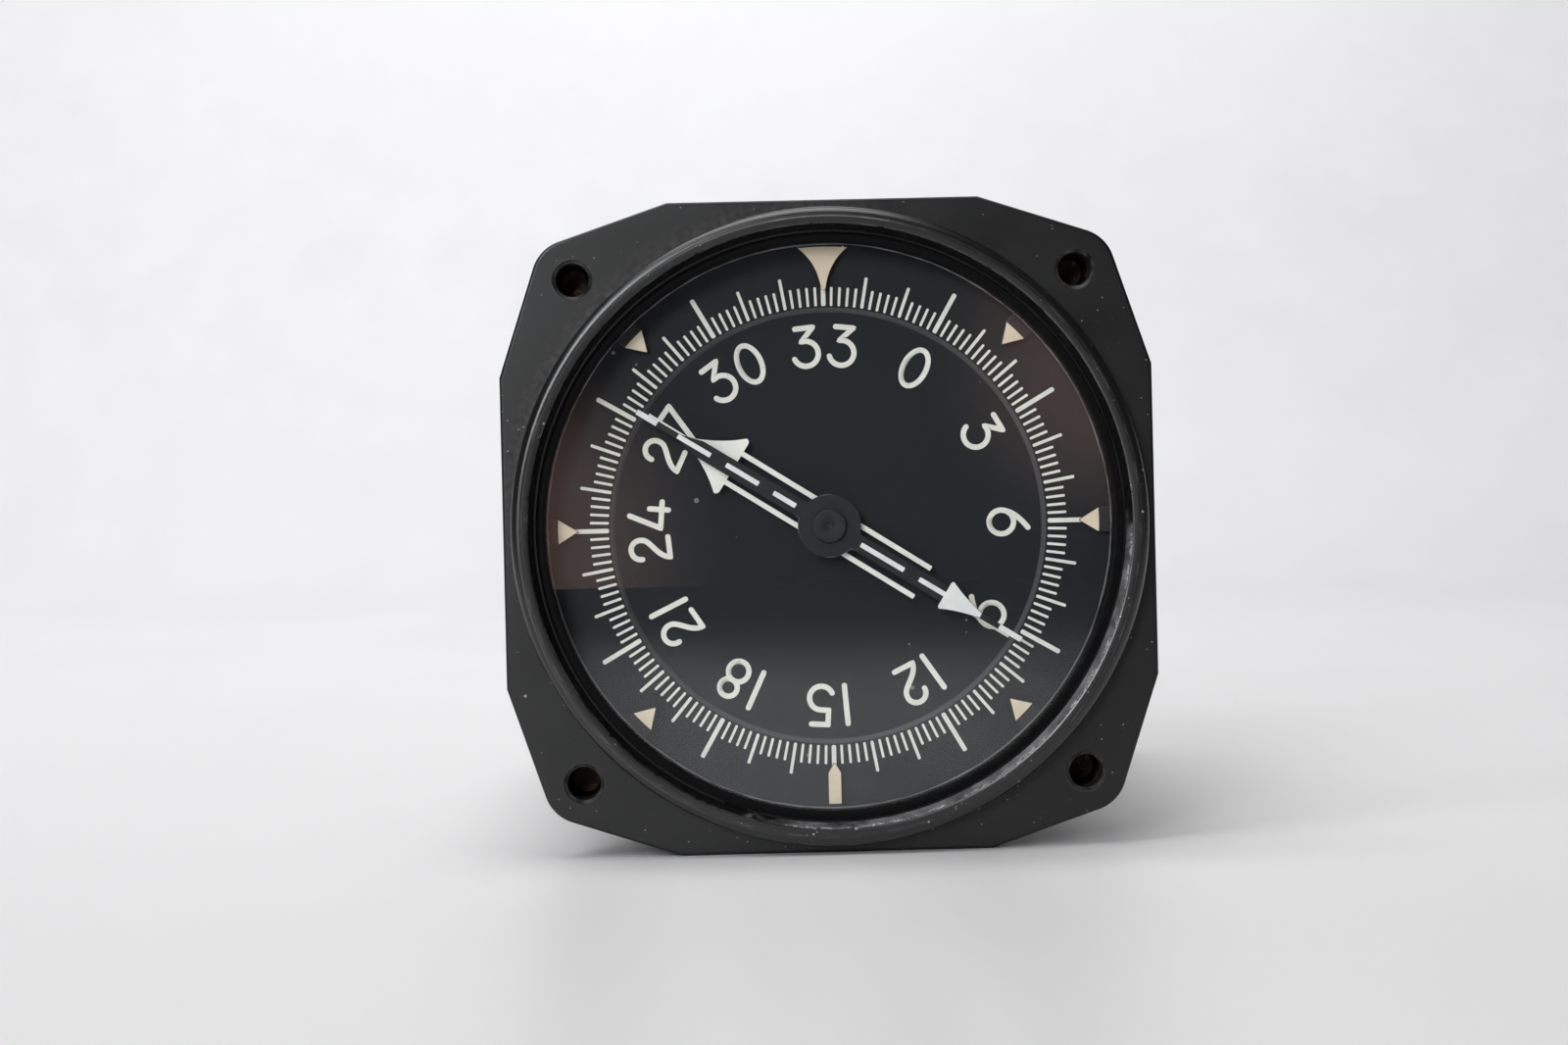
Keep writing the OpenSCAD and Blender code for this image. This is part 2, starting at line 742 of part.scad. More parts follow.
module rear_cover_screws() {
    color([0.6, 0.6, 0.6]) at_y(cover_rear_y) around(cover_screw_angles, cover_screw_r)
        screw(rear_cover_t + can_gasket_t + can_rim_t, screw_head_h);
}

module connector_shell() {
    neck_end_y = cover_rear_y + shell_flange_t + shell_neck_l;
    color([0.5, 0.5, 0.48]) difference() {
        union() {
            at_y(cover_rear_y) translate([-shell_flange_w/2, -shell_flange_w/2, 0])
                cube([shell_flange_w, shell_flange_w, shell_flange_t]);
            disc(shell_r - shell_thread, cover_rear_y, neck_end_y);
            disc(shell_r, neck_end_y, shell_end_y);
        }
        disc(shell_in_r, cover_rear_y - over, shell_end_y + over);
        holes(cover_rear_y, shell_flange_t, screw_r + screw_fit, shell_screw_angles, shell_screw_r);
    }
}

// Contacts on two circles and in the centre
module contact_places() {
    children();
    around([0:60:300], contact_ring_r) children();
    around([0:30:330], 2*contact_ring_r) children();
}

module connector_insert() {
    color([0.12, 0.1, 0.09]) difference() {
        disc(shell_in_r - run_fit, insert_y, insert_end_y);
        at_y(insert_y - over) contact_places()
            cylinder(r = contact_d/2 + run_fit, h = insert_end_y - insert_y + 2*over);
    }
}

module connector_contacts() {
    color([0.85, 0.7, 0.35]) at_y(contact_y) contact_places()
        cylinder(r = contact_d/2, h = contact_end_y - contact_y);
}

module connector_screws() {
    color([0.6, 0.6, 0.6]) at_y(cover_rear_y + shell_flange_t) around(shell_screw_angles, shell_screw_r)
        screw(shell_flange_t + rear_cover_t, screw_head_h);
}

// Holes of the post studs and of a synchro's clamp screws in the plate that carries it
module plate_screw_holes(y) {
    holes(y, plate_t, stud_r + screw_fit, post_angles, post_circle_r);
    holes(y, plate_t, screw_r + screw_fit, clamp_angles, clamp_circle_r);
}

module gear_plate() {
    color([0.62, 0.63, 0.65]) difference() {
        disc(plate_r, gear_plate_y, gear_plate_rear_y);
        disc(card_shaft_d/2 + plate_bore_w, gear_plate_y - over, gear_plate_rear_y + over);
        hole_at(gear_plate_y, plate_t, bush_r + seat_fit, idler_at);
        hole_at(gear_plate_y, plate_t, motor_pilot_r + screw_fit, motor_at);
        at_y(gear_plate_y - over) translate(motor_at) around(motor_screw_angles, motor_screw_r)
            cylinder(r = screw_r + screw_fit, h = plate_t + 2*over);
        holes(gear_plate_y, plate_t, window_hole_r, gear_window_angles, plate_window_circle_r);
        plate_screw_holes(gear_plate_y);
    }
}

module mid_plate() {
    color([0.62, 0.63, 0.65]) difference() {
        disc(plate_r, mid_plate_y, mid_plate_rear_y);
        disc(double_shaft_d/2 + plate_bore_w, mid_plate_y - over, mid_plate_rear_y + over);
        hole_at(mid_plate_y, plate_t, motor_r + motor_clear, motor_at);
        holes(mid_plate_y, plate_t, window_hole_r, mid_window_angles, plate_window_circle_r);
        plate_screw_holes(mid_plate_y);
    }
}

module rear_plate() {
    color([0.62, 0.63, 0.65]) difference() {
        disc(rear_plate_r, rear_plate_y, rear_plate_rear_y);
        disc(single_journal_d/2 + plate_bore_w/2, rear_plate_y - over, rear_plate_rear_y + over);
        holes(rear_plate_y, plate_t, window_hole_r, rear_window_angles, plate_window_circle_r);
        plate_screw_holes(rear_plate_y);
    }
}

// Spacer posts: each has a bore in front and a stud behind that passes the next plate
module post(y_from, y_to) {
    at_y(y_from) difference() {
        union() {
            cylinder(r = post_r, h = y_to - y_from);
            cylinder(r = stud_r, h = y_to - y_from + plate_t + stud_l);
        }
        post_bore();
    }
}

module post_bore() {
    translate([0, 0, -over]) cylinder(r = stud_r + screw_fit, h = stud_l + stud_clear + over);
}

// The rear posts end in a bore for the rear screws
module last_post() {
    length = rear_plate_y - mid_plate_rear_y;
    at_y(mid_plate_rear_y) difference() {
        cylinder(r = post_r, h = length);
        post_bore();
        translate([0, 0, length]) mirror([0, 0, 1]) post_bore();
    }
}

module frame_posts() {
    color([0.7, 0.7, 0.72]) for (a = post_angles) translate(post_circle_r*[cos(a), 0, sin(a)]) {
        post(front_plate_rear_y, gear_plate_y);
        post(gear_plate_rear_y, mid_plate_y);
        last_post();
    }
}

// Screws of the frame: countersunk in front and cheese heads behind
module frame_screws() {
    sunk_r = screw_head_r + frame_sink_fit;
    color([0.5, 0.5, 0.5]) {
        at_y(front_plate_y) around(post_angles, post_circle_r) {
            cylinder(r = stud_r, h = front_plate_t + stud_l);
            cylinder(r1 = sunk_r, r2 = stud_r, h = sunk_r - stud_r);
        }
        at_y(rear_plate_rear_y) around(post_angles, post_circle_r) screw(plate_t + stud_l, screw_head_h);
        for (y = [gear_plate_rear_y, mid_plate_rear_y]) at_y(y + clamp_t) clamp_screws();
        at_y(rear_plate_y - clamp_t) mirror([0, 0, 1]) clamp_screws();
        at_y(gear_plate_y) translate(motor_at) mirror([0, 0, 1]) around(motor_screw_angles, motor_screw_r)
            screw(plate_t + motor_screw_depth - motor_clear, screw_head_h*0.75);
    }
}

module clamp_screws() {
    around(clamp_angles, clamp_circle_r) screw(plate_t + clamp_t, screw_head_h*0.8);
}

// Clamp that hooks over a synchro's flange
module clamp() {
    hook = clamp_circle_r - synchro_flange_r + clamp_hook_w;
    foot = hook - clamp_hook_w - clamp_clear;
    difference() {
        union() {
            translate([-hook, -clamp_w/2, synchro_flange_t])
                cube([hook + clamp_heel_w, clamp_w, clamp_t - synchro_flange_t]);
            translate([-foot, -clamp_w/2, 0]) cube([foot + clamp_heel_w, clamp_w, clamp_t - over]);
        }
        translate([0, 0, -over]) cylinder(r = screw_r + screw_fit, h = clamp_t + 2*over);
    }
}

module synchro_clamps() {
    color([0.55, 0.55, 0.52]) {
        for (y = [gear_plate_rear_y, mid_plate_rear_y]) at_y(y) around(clamp_angles, clamp_circle_r) clamp();
        at_y(rear_plate_y) mirror([0, 0, 1]) around(clamp_angles, clamp_circle_r) clamp();
    }
}

module idler_bushes() {
    color([0.75, 0.6, 0.3]) facing() translate(idler_at) {
        bush(front_plate_y + bearing_inset, front_plate_rear_y, front_plate_rear_y);
        bush(gear_plate_y, gear_plate_rear_y, gear_plate_y - bush_flange_t);
    }
}

module bush(y_from, y_to, flange_y) {
    difference() {
        union() {
            translate([0, 0, y_from]) cylinder(r = bush_r, h = y_to - y_from);
            translate([0, 0, flange_y]) cylinder(r = bush_flange_r, h = bush_flange_t);
        }
        translate([0, 0, y_from - bush_flange_t - over])
            cylinder(r = pivot_r + run_fit, h = y_to - y_from + 2*(bush_flange_t + over));
    }
}

// Ball bearings
module inner_races(places) {
    for (p = places) let (b = p[0]) ring(race_in_r(b), b[0] + seat_fit, p[1], p[1] + bearing_w);
}

module outer_races() {
    color([0.75, 0.75, 0.77]) for (p = bearing_places) let (b = p[0])
        ring(bearing_r(b), race_out_r(b), p[1], p[1] + bearing_w);
}

module bearing_balls() {
    color([0.85, 0.85, 0.87]) for (p = bearing_places) let (b = p[0]) at_y(p[1] + bearing_w/2)
        around([0:360/ball_count:359], ball_circle_r(b)) sphere(d = b[1], $fn = 24);
}

// Synchro housing: a cup with its mounting flange at depth 0
module synchro_cup(l, hole_r) {
    difference() {
        union() {
            cylinder(r = synchro_r, h = l - cap_t);
            cylinder(r = synchro_flange_r, h = synchro_flange_t);
        }
        translate([0, 0, cap_t]) cylinder(r = synchro_in_r, h = l);
        translate([0, 0, -over]) cylinder(r = hole_r, h = l);
    }
}

// End cap with its register and its bearing seat
module synchro_cap(l, b) {
    difference() {
        union() {
            translate([0, 0, l - cap_t]) cylinder(r = synchro_r, h = cap_t);
            translate([0, 0, l - cap_t - cap_register]) cylinder(r = synchro_in_r - seat_fit, h = cap_t);
        }
        translate([0, 0, l - cap_t - cap_register - over])
            cylinder(r = race_out_r(b), h = cap_t + cap_register + 2*over);
        translate([0, 0, l - bearing_w]) cylinder(r = bearing_r(b) + seat_fit, h = bearing_w + over);
    }
}

module card_synchro_housing() {
    color([0.5, 0.48, 0.4]) at_y(gear_plate_rear_y)
        synchro_cup(card_synchro_l, race_in_r(card_bearing));
}

module pointer_synchro_housings() {
    color([0.5, 0.48, 0.4]) {
        at_y(mid_plate_rear_y) seated_cup(double_bearing);
        at_y(rear_plate_y) mirror([0, 0, 1]) seated_cup(single_bearing);
    }
}

// A cup that also holds a bearing in its own end
module seated_cup(b) {
    difference() {
        synchro_cup(pointer_synchro_l, race_out_r(b));
        translate([0, 0, bearing_inset]) cylinder(r = bearing_r(b) + seat_fit, h = cap_t);
    }
}

module synchro_end_caps() {
    color([0.55, 0.52, 0.42]) {
        at_y(gear_plate_rear_y) synchro_cap(card_synchro_l, card_bearing);
        at_y(mid_plate_rear_y) synchro_cap(pointer_synchro_l, double_bearing);
        at_y(rear_plate_y) mirror([0, 0, 1]) synchro_cap(pointer_synchro_l, single_bearing);
    }
}

// Laminated stator with slots open to its bore
module stator_core(y, l) {
    at_y(y) linear_extrude(l) difference() {
        circle(r = synchro_in_r - seat_fit);
        circle(r = stator_r);
        for (k = [0:slot_count - 1]) rotate(k*360/slot_count) translate([stator_r - over, -slot_w/2])
            square([slot_out_r - stator_r + over, slot_w]);
    }
}

// Winding: bars in the slots, joined by a turn at each end of the core
module stator_winding(y, l, overhang) {
    bar = slot_w - 2*slot_liner;
    inner_r = stator_r + air_gap;
    ring(slot_out_r, inner_r, y - overhang, y - slot_liner/2);
    ring(slot_out_r, inner_r, y + l + slot_liner/2, y + l + overhang);
    at_y(y - 2*slot_liner) for (k = [0:slot_count - 1]) rotate(k*360/slot_count)
        translate([inner_r + slot_liner, -bar/2, 0])
            cube([slot_out_r - inner_r - 2*slot_liner, bar, l + 4*slot_liner]);
}

module card_synchro_stator() {
    color([0.3, 0.3, 0.32]) stator_core(card_core_y, card_core_l);
}

module card_synchro_windings() {
    color([0.6, 0.3, 0.12]) stator_winding(card_core_y, card_core_l, card_winding_overhang);
}

module pointer_synchro_stators() {
    color([0.3, 0.3, 0.32]) {
        stator_core(double_core_y, pointer_core_l);
        stator_core(single_core_y, pointer_core_l);
    }
}

module pointer_synchro_windings() {
    color([0.6, 0.3, 0.12]) {
        stator_winding(double_core_y, pointer_core_l, winding_overhang);
        stator_winding(single_core_y, pointer_core_l, winding_overhang);
    }
}

// Rotor: two pole shoes on a neck, with the coil in the slots beside the neck
function neck_half(shaft_r) = max(rotor_r*0.375, shaft_r + 1);

module rotor_core(y, l, shaft_r) {
    slot_half = rotor_r - rotor_shoe_t;
    at_y(y) linear_extrude(l) difference() {
        circle(r = rotor_r);
        circle(r = shaft_r + seat_fit);
        for (s = [0, 180]) rotate(s) translate([neck_half(shaft_r), -slot_half]) square([rotor_r, 2*slot_half]);
    }
}

module rotor_coil(y, l, shaft_r) {
    coil_half = rotor_r - rotor_shoe_t - slot_liner;
    at_y(y - rotor_overhang) for (s = [0, 180]) rotate([0, 0, s]) intersection() {
        translate([neck_half(shaft_r) + slot_liner, -coil_half, 0])
            cube([rotor_r, 2*coil_half, l + 2*rotor_overhang]);
        cylinder(r = rotor_r - rotor_coil_inset, h = l + 2*rotor_overhang);
    }
}

// Servo motor: gearhead in front with its pilot in the plate, stepped case behind
module servo_motor() {
    color([0.55, 0.55, 0.57]) at_y(gear_plate_rear_y) translate(motor_at) difference() {
        union() {
            cylinder(r = motor_r - motor_step, h = gearhead_l);
            translate([0, 0, gearhead_l]) cylinder(r = motor_r, h = motor_l - gearhead_l - motor_end_l);
            translate([0, 0, motor_l - motor_end_l]) cylinder(r = motor_r - 4*motor_step, h = motor_end_l);
            translate([0, 0, -plate_t]) cylinder(r = motor_pilot_r, h = plate_t + over);
        }
        translate([0, 0, -plate_t - over]) cylinder(r = motor_shaft_r + run_fit, h = motor_bore_l + over);
        around(motor_screw_angles, motor_screw_r) translate([0, 0, -over])
            cylinder(r = screw_r + screw_fit, h = motor_screw_depth + over);
    }
}

module amplifier_board() {
    color([0.35, 0.3, 0.12]) translate([board_x, board_from_y, -board_w/2])
        cube([board_t, board_to_y - board_from_y, board_w]);
}

module amplifier_transistors() {
    color([0.6, 0.6, 0.6]) for (y = transistor_ys) for (s = [-1, 1])
        translate([board_x + board_t, y, s*transistor_z]) rotate([0, 90, 0]) {
            cylinder(r = transistor_r + transistor_rim_w, h = transistor_rim_t);
            cylinder(r = transistor_r, h = transistor_h);
        }
}

// Two large and two small capacitors lie on the board along the case
module amplifier_capacitors() {
    color([0.2, 0.3, 0.5]) for (s = [-1, 1]) {
        capacitor(large_cap_r, large_cap_l, board_to_y - large_cap_l - board_edge, s*large_cap_z);
        capacitor(small_cap_r, small_cap_l, board_from_y + bracket_leg/2, s*small_cap_z);
    }
}

module capacitor(r, l, y, z) {
    translate([board_x + board_t + r, y, z]) rotate([-90, 0, 0]) cylinder(r = r, h = l);
}

// Angle brackets that hold the board between the middle and rear plates
module board_brackets() {
    color([0.6, 0.6, 0.6]) for (z = [-bracket_z, bracket_z])
        translate([board_x + board_t, 0, z - bracket_w/2]) {
            translate([0, mid_plate_rear_y, 0]) {
                cube([bracket_leg, bracket_t, bracket_w]);
                cube([bracket_t, bracket_leg, bracket_w]);
            }
            translate([0, rear_plate_y - bracket_t, 0]) cube([bracket_leg, bracket_t, bracket_w]);
            translate([0, rear_plate_y - bracket_leg, 0]) cube([bracket_t, bracket_leg, bracket_w]);
        }
}

// Transformer: a laminated core with its coil, on two feet behind the rear plate
module supply_transformer() {
    color([0.4, 0.38, 0.35]) translate([0, rear_plate_rear_y, 0]) {
        translate([-core_w/2, core_foot_t/2, -core_h/2]) cube([core_w, core_l, core_h]);
        translate([-coil_w/2, core_foot_t, -coil_h/2]) cube([coil_w, core_l - core_foot_t, coil_h]);
        for (s = [0, 1]) mirror([s, 0, 0]) translate([core_w/2 - core_foot_w/2, 0, -core_h/2])
            cube([core_foot_w*1.5, core_foot_t, core_h]);
    }
}

// Card, its hub and everything that turns with it
module compass_card() {
    hole_r = card_shaft_d/2 + seat_fit;
    color([0.045, 0.05, 0.055]) facing() rotate_extrude() polygon([[hole_r, card_floor_y],
        [card_foot_r, card_floor_y], [card_foot_r + card_step, card_y], [card_r - card_edge, card_y],
        [card_r, card_y + card_edge], [card_r, card_rear_y], [hole_r, card_rear_y]]);
}

module card_hub() {
    color([0.6, 0.6, 0.62])
        ring(card_hub_r, card_shaft_d/2 + seat_fit, card_rear_y, card_rear_y + card_hub_t);
}

module card_shaft() {
    color([0.65, 0.65, 0.68]) ring(card_shaft_d/2, card_shaft_bore_d/2, card_floor_y + shaft_inset,
        card_rear_bearing_y + bearing_w + shaft_end);
}

module card_shaft_bush() {
    color([0.75, 0.6, 0.3]) ring(card_shaft_bore_d/2 - seat_fit, double_shaft_d/2 + run_fit,
        card_floor_y + shaft_inset, card_floor_y + shaft_inset + shaft_bush_l);
}

// Involute tooth outline: half angle of a tooth at a radius
function involute(angle) = tan(angle)*180/PI - angle;
function tooth_half(teeth, r) =
    let (pitch_r = teeth*gear_module/2, base_r = pitch_r*cos(pressure_angle))
    90/teeth - backlash/2/pitch_r*90/PI + involute(pressure_angle) - involute(acos(min(1, base_r/r)));
function gear_radii(teeth) =
    let (pitch_r = teeth*gear_module/2, root = pitch_r - dedendum, tip = pitch_r + addendum)
    let (start = max(root + 0.02, pitch_r*cos(pressure_angle)))
    [root, start, (start + tip)/2, tip];
function polar(r, a) = r*[cos(a), sin(a)];
function tooth(teeth, middle) =
    let (radii = gear_radii(teeth))
    let (halves = [for (r = radii) tooth_half(teeth, max(r, radii[1]))])
    concat([for (i = [0:3]) polar(radii[i], middle - halves[i])],
        [for (i = [3:-1:0]) polar(radii[i], middle + halves[i])]);

module gear(teeth, phase, bore_r) {
    difference() {
        polygon([for (k = [0:teeth - 1]) each tooth(teeth, phase + k*360/teeth)]);
        circle(r = bore_r);
    }
}

module card_gear() {
    hole_r = card_shaft_d/2 + seat_fit;
    boss_r = card_shaft_d/2 + gear_boss_w;
    web_r = (card_gear_r - dedendum + boss_r)/2;
    color([0.78, 0.62, 0.3]) {
        at_y(card_gear_y) linear_extrude(gear_t) difference() {
            gear(card_teeth, 0, hole_r);
            for (a = [0:60:300]) rotate(a) translate([web_r, 0]) circle(r = card_gear_hole_r);
        }
        ring(boss_r, hole_r, card_gear_y + gear_t/2, card_gear_y + gear_t + gear_boss_l);
    }
}

module card_rotor() {
    color([0.35, 0.35, 0.38]) rotor_core(card_core_y, card_core_l, card_shaft_d/2);
    color([0.6, 0.3, 0.12]) rotor_coil(card_core_y, card_core_l, card_shaft_d/2);
}

module card_inner_races() {
    color([0.75, 0.75, 0.77]) inner_races([bearing_places[0], bearing_places[1]]);
}

// Double-bar pointer: two bars, an arrowhead that ends in a needle, and a needle tail
function arrowhead(half_w, base, tip, neck, corner) =
    both_sides(concat(curve([neck, tip], [neck + (half_w - neck)*0.42, base + (tip - base)*0.42],
        [half_w - 0.05, base + corner + 0.1], 5), arc([half_w - corner, base + corner], corner, 0, -90, 3)));

module double_pointer_plate() {
    head_tip = double_head_r + double_head_l;
    needle = needle_w - 0.1;
    sheet(pointer_t) {
        for (x = [-double_w/2, double_w/2 - bar_w]) translate([x, bar_w/3 - double_head_r])
            square([bar_w, 2*double_head_r]);
        polygon(arrowhead(double_head_w/2, double_head_r, head_tip, needle/2, double_head_corner));
        translate([-needle/2, head_tip - needle]) square([needle, double_reach - head_tip + needle]);
        translate([-needle/2, -double_reach]) square([needle, double_reach]);
        circle(r = double_hub_r + bar_w/2);
    }
}

module double_pointer() {
    color([0.9, 0.87, 0.75]) at_y(double_y) at_clock(double_clock) difference() {
        double_pointer_plate();
        translate([0, 0, -over]) cylinder(r = double_shaft_d/2 + seat_fit, h = pointer_t + 2*over);
    }
}

module double_pointer_hub() {
    color([0.1, 0.1, 0.1]) ring(double_hub_r, double_shaft_d/2 + seat_fit, double_y + pointer_t,
        double_y + pointer_t + double_hub_t);
}

module double_shaft() {
    color([0.65, 0.65, 0.68]) ring(double_shaft_d/2, double_shaft_bore_d/2, double_y - shaft_inset/2,
        double_rear_bearing_y + bearing_w + shaft_end);
}

module double_shaft_bush() {
    color([0.75, 0.6, 0.3]) ring(double_shaft_bore_d/2 - seat_fit, single_shaft_d/2 + run_fit,
        double_y - shaft_inset/2, double_y + shaft_bush_l);
}

module double_rotor() {
    color([0.35, 0.35, 0.38]) rotor_core(double_core_y, pointer_core_l, double_shaft_d/2);
    color([0.6, 0.3, 0.12]) rotor_coil(double_core_y, pointer_core_l, double_shaft_d/2);
}

module double_inner_races() {
    color([0.75, 0.75, 0.77]) inner_races([bearing_places[2], bearing_places[3]]);
}

// Single-bar pointer: a flat bar with an arrowhead and needle ends
module single_pointer_plate() {
    head_tip = single_head_r + single_head_l;
    body = [[single_w/2, single_head_r + needle_w/2], [single_w/2, -tail_shoulder_r],
        [needle_w/2, -tail_neck_r], [needle_w/2, -single_reach]];
    sheet(pointer_t) {
        polygon(both_sides(body));
        polygon(arrowhead(single_head_w/2, single_head_r, head_tip, needle_w/2, single_head_corner));
        translate([-needle_w/2, head_tip - needle_w]) square([needle_w, single_reach - head_tip + needle_w]);
        circle(r = hub_disc_d/2);
    }
}

module single_pointer() {
    color([0.05, 0.05, 0.05]) at_y(single_y) at_clock(single_clock) difference() {
        single_pointer_plate();
        translate([0, 0, -over]) cylinder(r = single_shaft_d/2 + seat_fit, h = pointer_t + 2*over);
    }
}

module pointer_cap() {
    color([0.06, 0.06, 0.06]) difference() {
        disc(cap_d/2, cap_y, single_y);
        disc(single_shaft_d/2 + seat_fit, cap_y + cap_face_t, single_y + over);
        disc(dimple_r, cap_y - over, cap_y + cap_face_t + over);
    }
}

module single_shaft() {
    step_y = rear_synchro_y - 2*shaft_end;
    color([0.65, 0.65, 0.68]) {
        disc(single_shaft_d/2, cap_y + cap_face_t + seat_fit, step_y + over);
        disc(single_journal_d/2, step_y, rear_plate_y + shaft_end);
    }
}

module single_rotor() {
    color([0.35, 0.35, 0.38]) rotor_core(single_core_y, pointer_core_l, single_journal_d/2);
    color([0.6, 0.3, 0.12]) rotor_coil(single_core_y, pointer_core_l, single_journal_d/2);
}

module single_inner_races() {
    color([0.75, 0.75, 0.77]) inner_races([bearing_places[4], bearing_places[5]]);
}

// Idler: the pinion meshes with the card gear, the gear with the motor pinion
module idler_gear() {
    pinion_y = card_gear_y - pinion_overrun;
    color([0.78, 0.62, 0.3]) facing() translate(idler_at) {
        translate([0, 0, pinion_y]) linear_extrude(idler_gear_y - pinion_y)
            gear(pinion_teeth, pinion_phase, idler_shaft_r + seat_fit);
        translate([0, 0, idler_gear_y]) linear_extrude(gear_t) difference() {
            gear(idler_teeth, 0, idler_shaft_r + seat_fit);
            for (a = [30:60:330]) rotate(a) translate([idler_r*0.6, 0]) circle(r = idler_gear_hole_r);
        }
    }
}

module idler_shaft() {
    front_y = front_plate_y + 3*bearing_inset;
    shoulder_y = front_plate_rear_y + bush_flange_t + shaft_inset;
    rear_shoulder_y = gear_plate_y - bush_flange_t - shaft_inset;
    color([0.65, 0.65, 0.68]) facing() translate(idler_at) {
        translate([0, 0, front_y]) cylinder(r = pivot_r, h = gear_plate_rear_y - front_y - bearing_inset);
        translate([0, 0, shoulder_y]) cylinder(r = idler_shaft_r, h = rear_shoulder_y - shoulder_y);
    }
}

module motor_pinion() {
    color([0.78, 0.62, 0.3]) facing() translate(motor_at) {
        translate([0, 0, idler_gear_y - pinion_overrun]) linear_extrude(gear_t + 2*pinion_overrun)
            gear(pinion_teeth, motor_phase, motor_shaft_r - seat_fit);
        translate([0, 0, idler_gear_y - over]) cylinder(r = motor_shaft_r,
            h = gear_plate_y + motor_bore_l - motor_clear - idler_gear_y + over);
    }
}

bezel();
glass_retaining_ring();
cover_glass();
glass_gasket();
index_ring();
dial_spacer();
front_plate();
case_screws();
case_can();
can_gasket();
rear_cover();
rear_cover_gasket();
rear_cover_screws();
connector_shell();
connector_insert();
connector_contacts();
connector_screws();
gear_plate();
mid_plate();
rear_plate();
frame_posts();
frame_screws();
idler_bushes();
outer_races();
bearing_balls();
card_synchro_housing();
card_synchro_stator();
card_synchro_windings();
pointer_synchro_housings();
pointer_synchro_stators();
pointer_synchro_windings();
synchro_end_caps();
synchro_clamps();
servo_motor();
amplifier_board();
amplifier_transistors();
amplifier_capacitors();
board_brackets();
supply_transformer();
compass_card();
card_hub();
card_shaft();
card_shaft_bush();
card_gear();
card_rotor();
card_inner_races();
double_pointer();
double_pointer_hub();
double_shaft();
double_shaft_bush();
double_rotor();
double_inner_races();
single_pointer();
pointer_cap();
single_shaft();
single_rotor();
single_inner_races();
idler_gear();
idler_shaft();
motor_pinion();
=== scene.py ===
import math

import bpy
from mathutils import Matrix, Quaternion, Vector, noise


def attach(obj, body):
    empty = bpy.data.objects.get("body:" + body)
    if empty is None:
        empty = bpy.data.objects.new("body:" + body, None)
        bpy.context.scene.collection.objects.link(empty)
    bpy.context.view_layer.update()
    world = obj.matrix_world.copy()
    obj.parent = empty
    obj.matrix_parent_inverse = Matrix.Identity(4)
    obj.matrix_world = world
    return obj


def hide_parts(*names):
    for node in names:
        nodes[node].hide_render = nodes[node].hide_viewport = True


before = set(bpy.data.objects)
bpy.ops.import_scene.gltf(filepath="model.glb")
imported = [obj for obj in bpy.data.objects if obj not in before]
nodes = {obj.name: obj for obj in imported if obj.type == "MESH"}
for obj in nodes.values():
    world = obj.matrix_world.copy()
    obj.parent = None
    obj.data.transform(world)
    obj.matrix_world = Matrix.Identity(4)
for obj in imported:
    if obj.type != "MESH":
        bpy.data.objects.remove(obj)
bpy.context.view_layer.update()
scene = bpy.context.scene
MM = 0.001

# Table and wall behind the instrument: one pale sheet that lies flat and sweeps up into the wall.
# The instrument stands on the flat of its flange with the tail of its case touching down,
# so the sheet rises a little towards the rear.
TABLE_TOP, TABLE_RISE = -0.0408, 0.0112
TABLE_FRONT, TABLE_HALF_W = -2.2, 2.2
SWEEP_FROM, SWEEP_R, SWEEP_STEPS = 0.76, 0.42, 28
WALL_H, WALL_TURN = 1.6, 0.17
CLOUD_LOW, CLOUD_HIGH = 0.3, 0.7


def deselect():
    """Leaves nothing selected, since operators act on all that is."""
    if bpy.context.mode != "OBJECT":
        bpy.ops.object.mode_set(mode="OBJECT")
    bpy.ops.object.select_all(action="DESELECT")


def take(piece):
    """Makes a piece the only one that the next operators work on."""
    deselect()
    piece.select_set(True)
    bpy.context.view_layer.objects.active = piece


def smooth(piece, angle=32):
    """Shades a piece smooth where its faces meet at less than the angle."""
    take(piece)
    bpy.ops.object.shade_smooth_by_angle(angle=math.radians(angle))
    return piece


def paint(piece, finish):
    """Gives a piece one finish all over."""
    piece.data.materials.clear()
    piece.data.materials.append(finish)


def put(tree, kind, wires=None, **settings):
    """Adds a shader node, sets its choices, and feeds its inputs with values or other nodes' outputs."""
    made = tree.nodes.new("ShaderNode" + kind)
    for name, value in settings.items():
        setattr(made, name, value)
    for name, value in (wires or {}).items():
        if isinstance(value, bpy.types.NodeSocket):
            tree.links.new(value, made.inputs[name])
        else:
            made.inputs[name].default_value = value
    return made


def new_finish(name, specular=0.5, **constants):
    """A new material and its node tree. Unchanging values are set straight on the shader's sockets."""
    finish = bpy.data.materials.new(name)
    finish.use_nodes = True
    shader = finish.node_tree.nodes["Principled BSDF"]
    for label, value in {"Specular_IOR_Level": specular, **constants}.items():
        shader.inputs[label.replace("_", " ")].default_value = value
    return finish, finish.node_tree


def feed(finish, colour=None, rough=None, normal=None, **others):
    """Wires what varies over a finish into its shader, and gives the finish back."""
    shader = finish.node_tree.nodes["Principled BSDF"]
    for label, socket in {"Base Color": colour, "Roughness": rough, "Normal": normal, **others}.items():
        if socket is not None:
            finish.node_tree.links.new(socket, shader.inputs[label.replace("_", " ")])
    return finish


def math_of(operation, first, second=0.0):
    """Result of a calculation with one or two values, at least one from a node."""
    tree = (first if isinstance(first, bpy.types.NodeSocket) else second).id_data
    return put(tree, "Math", {0: first, 1: second}, operation=operation).outputs[0]


def times(first, second):
    return math_of("MULTIPLY", first, second)


def plus(first, second):
    return math_of("ADD", first, second)


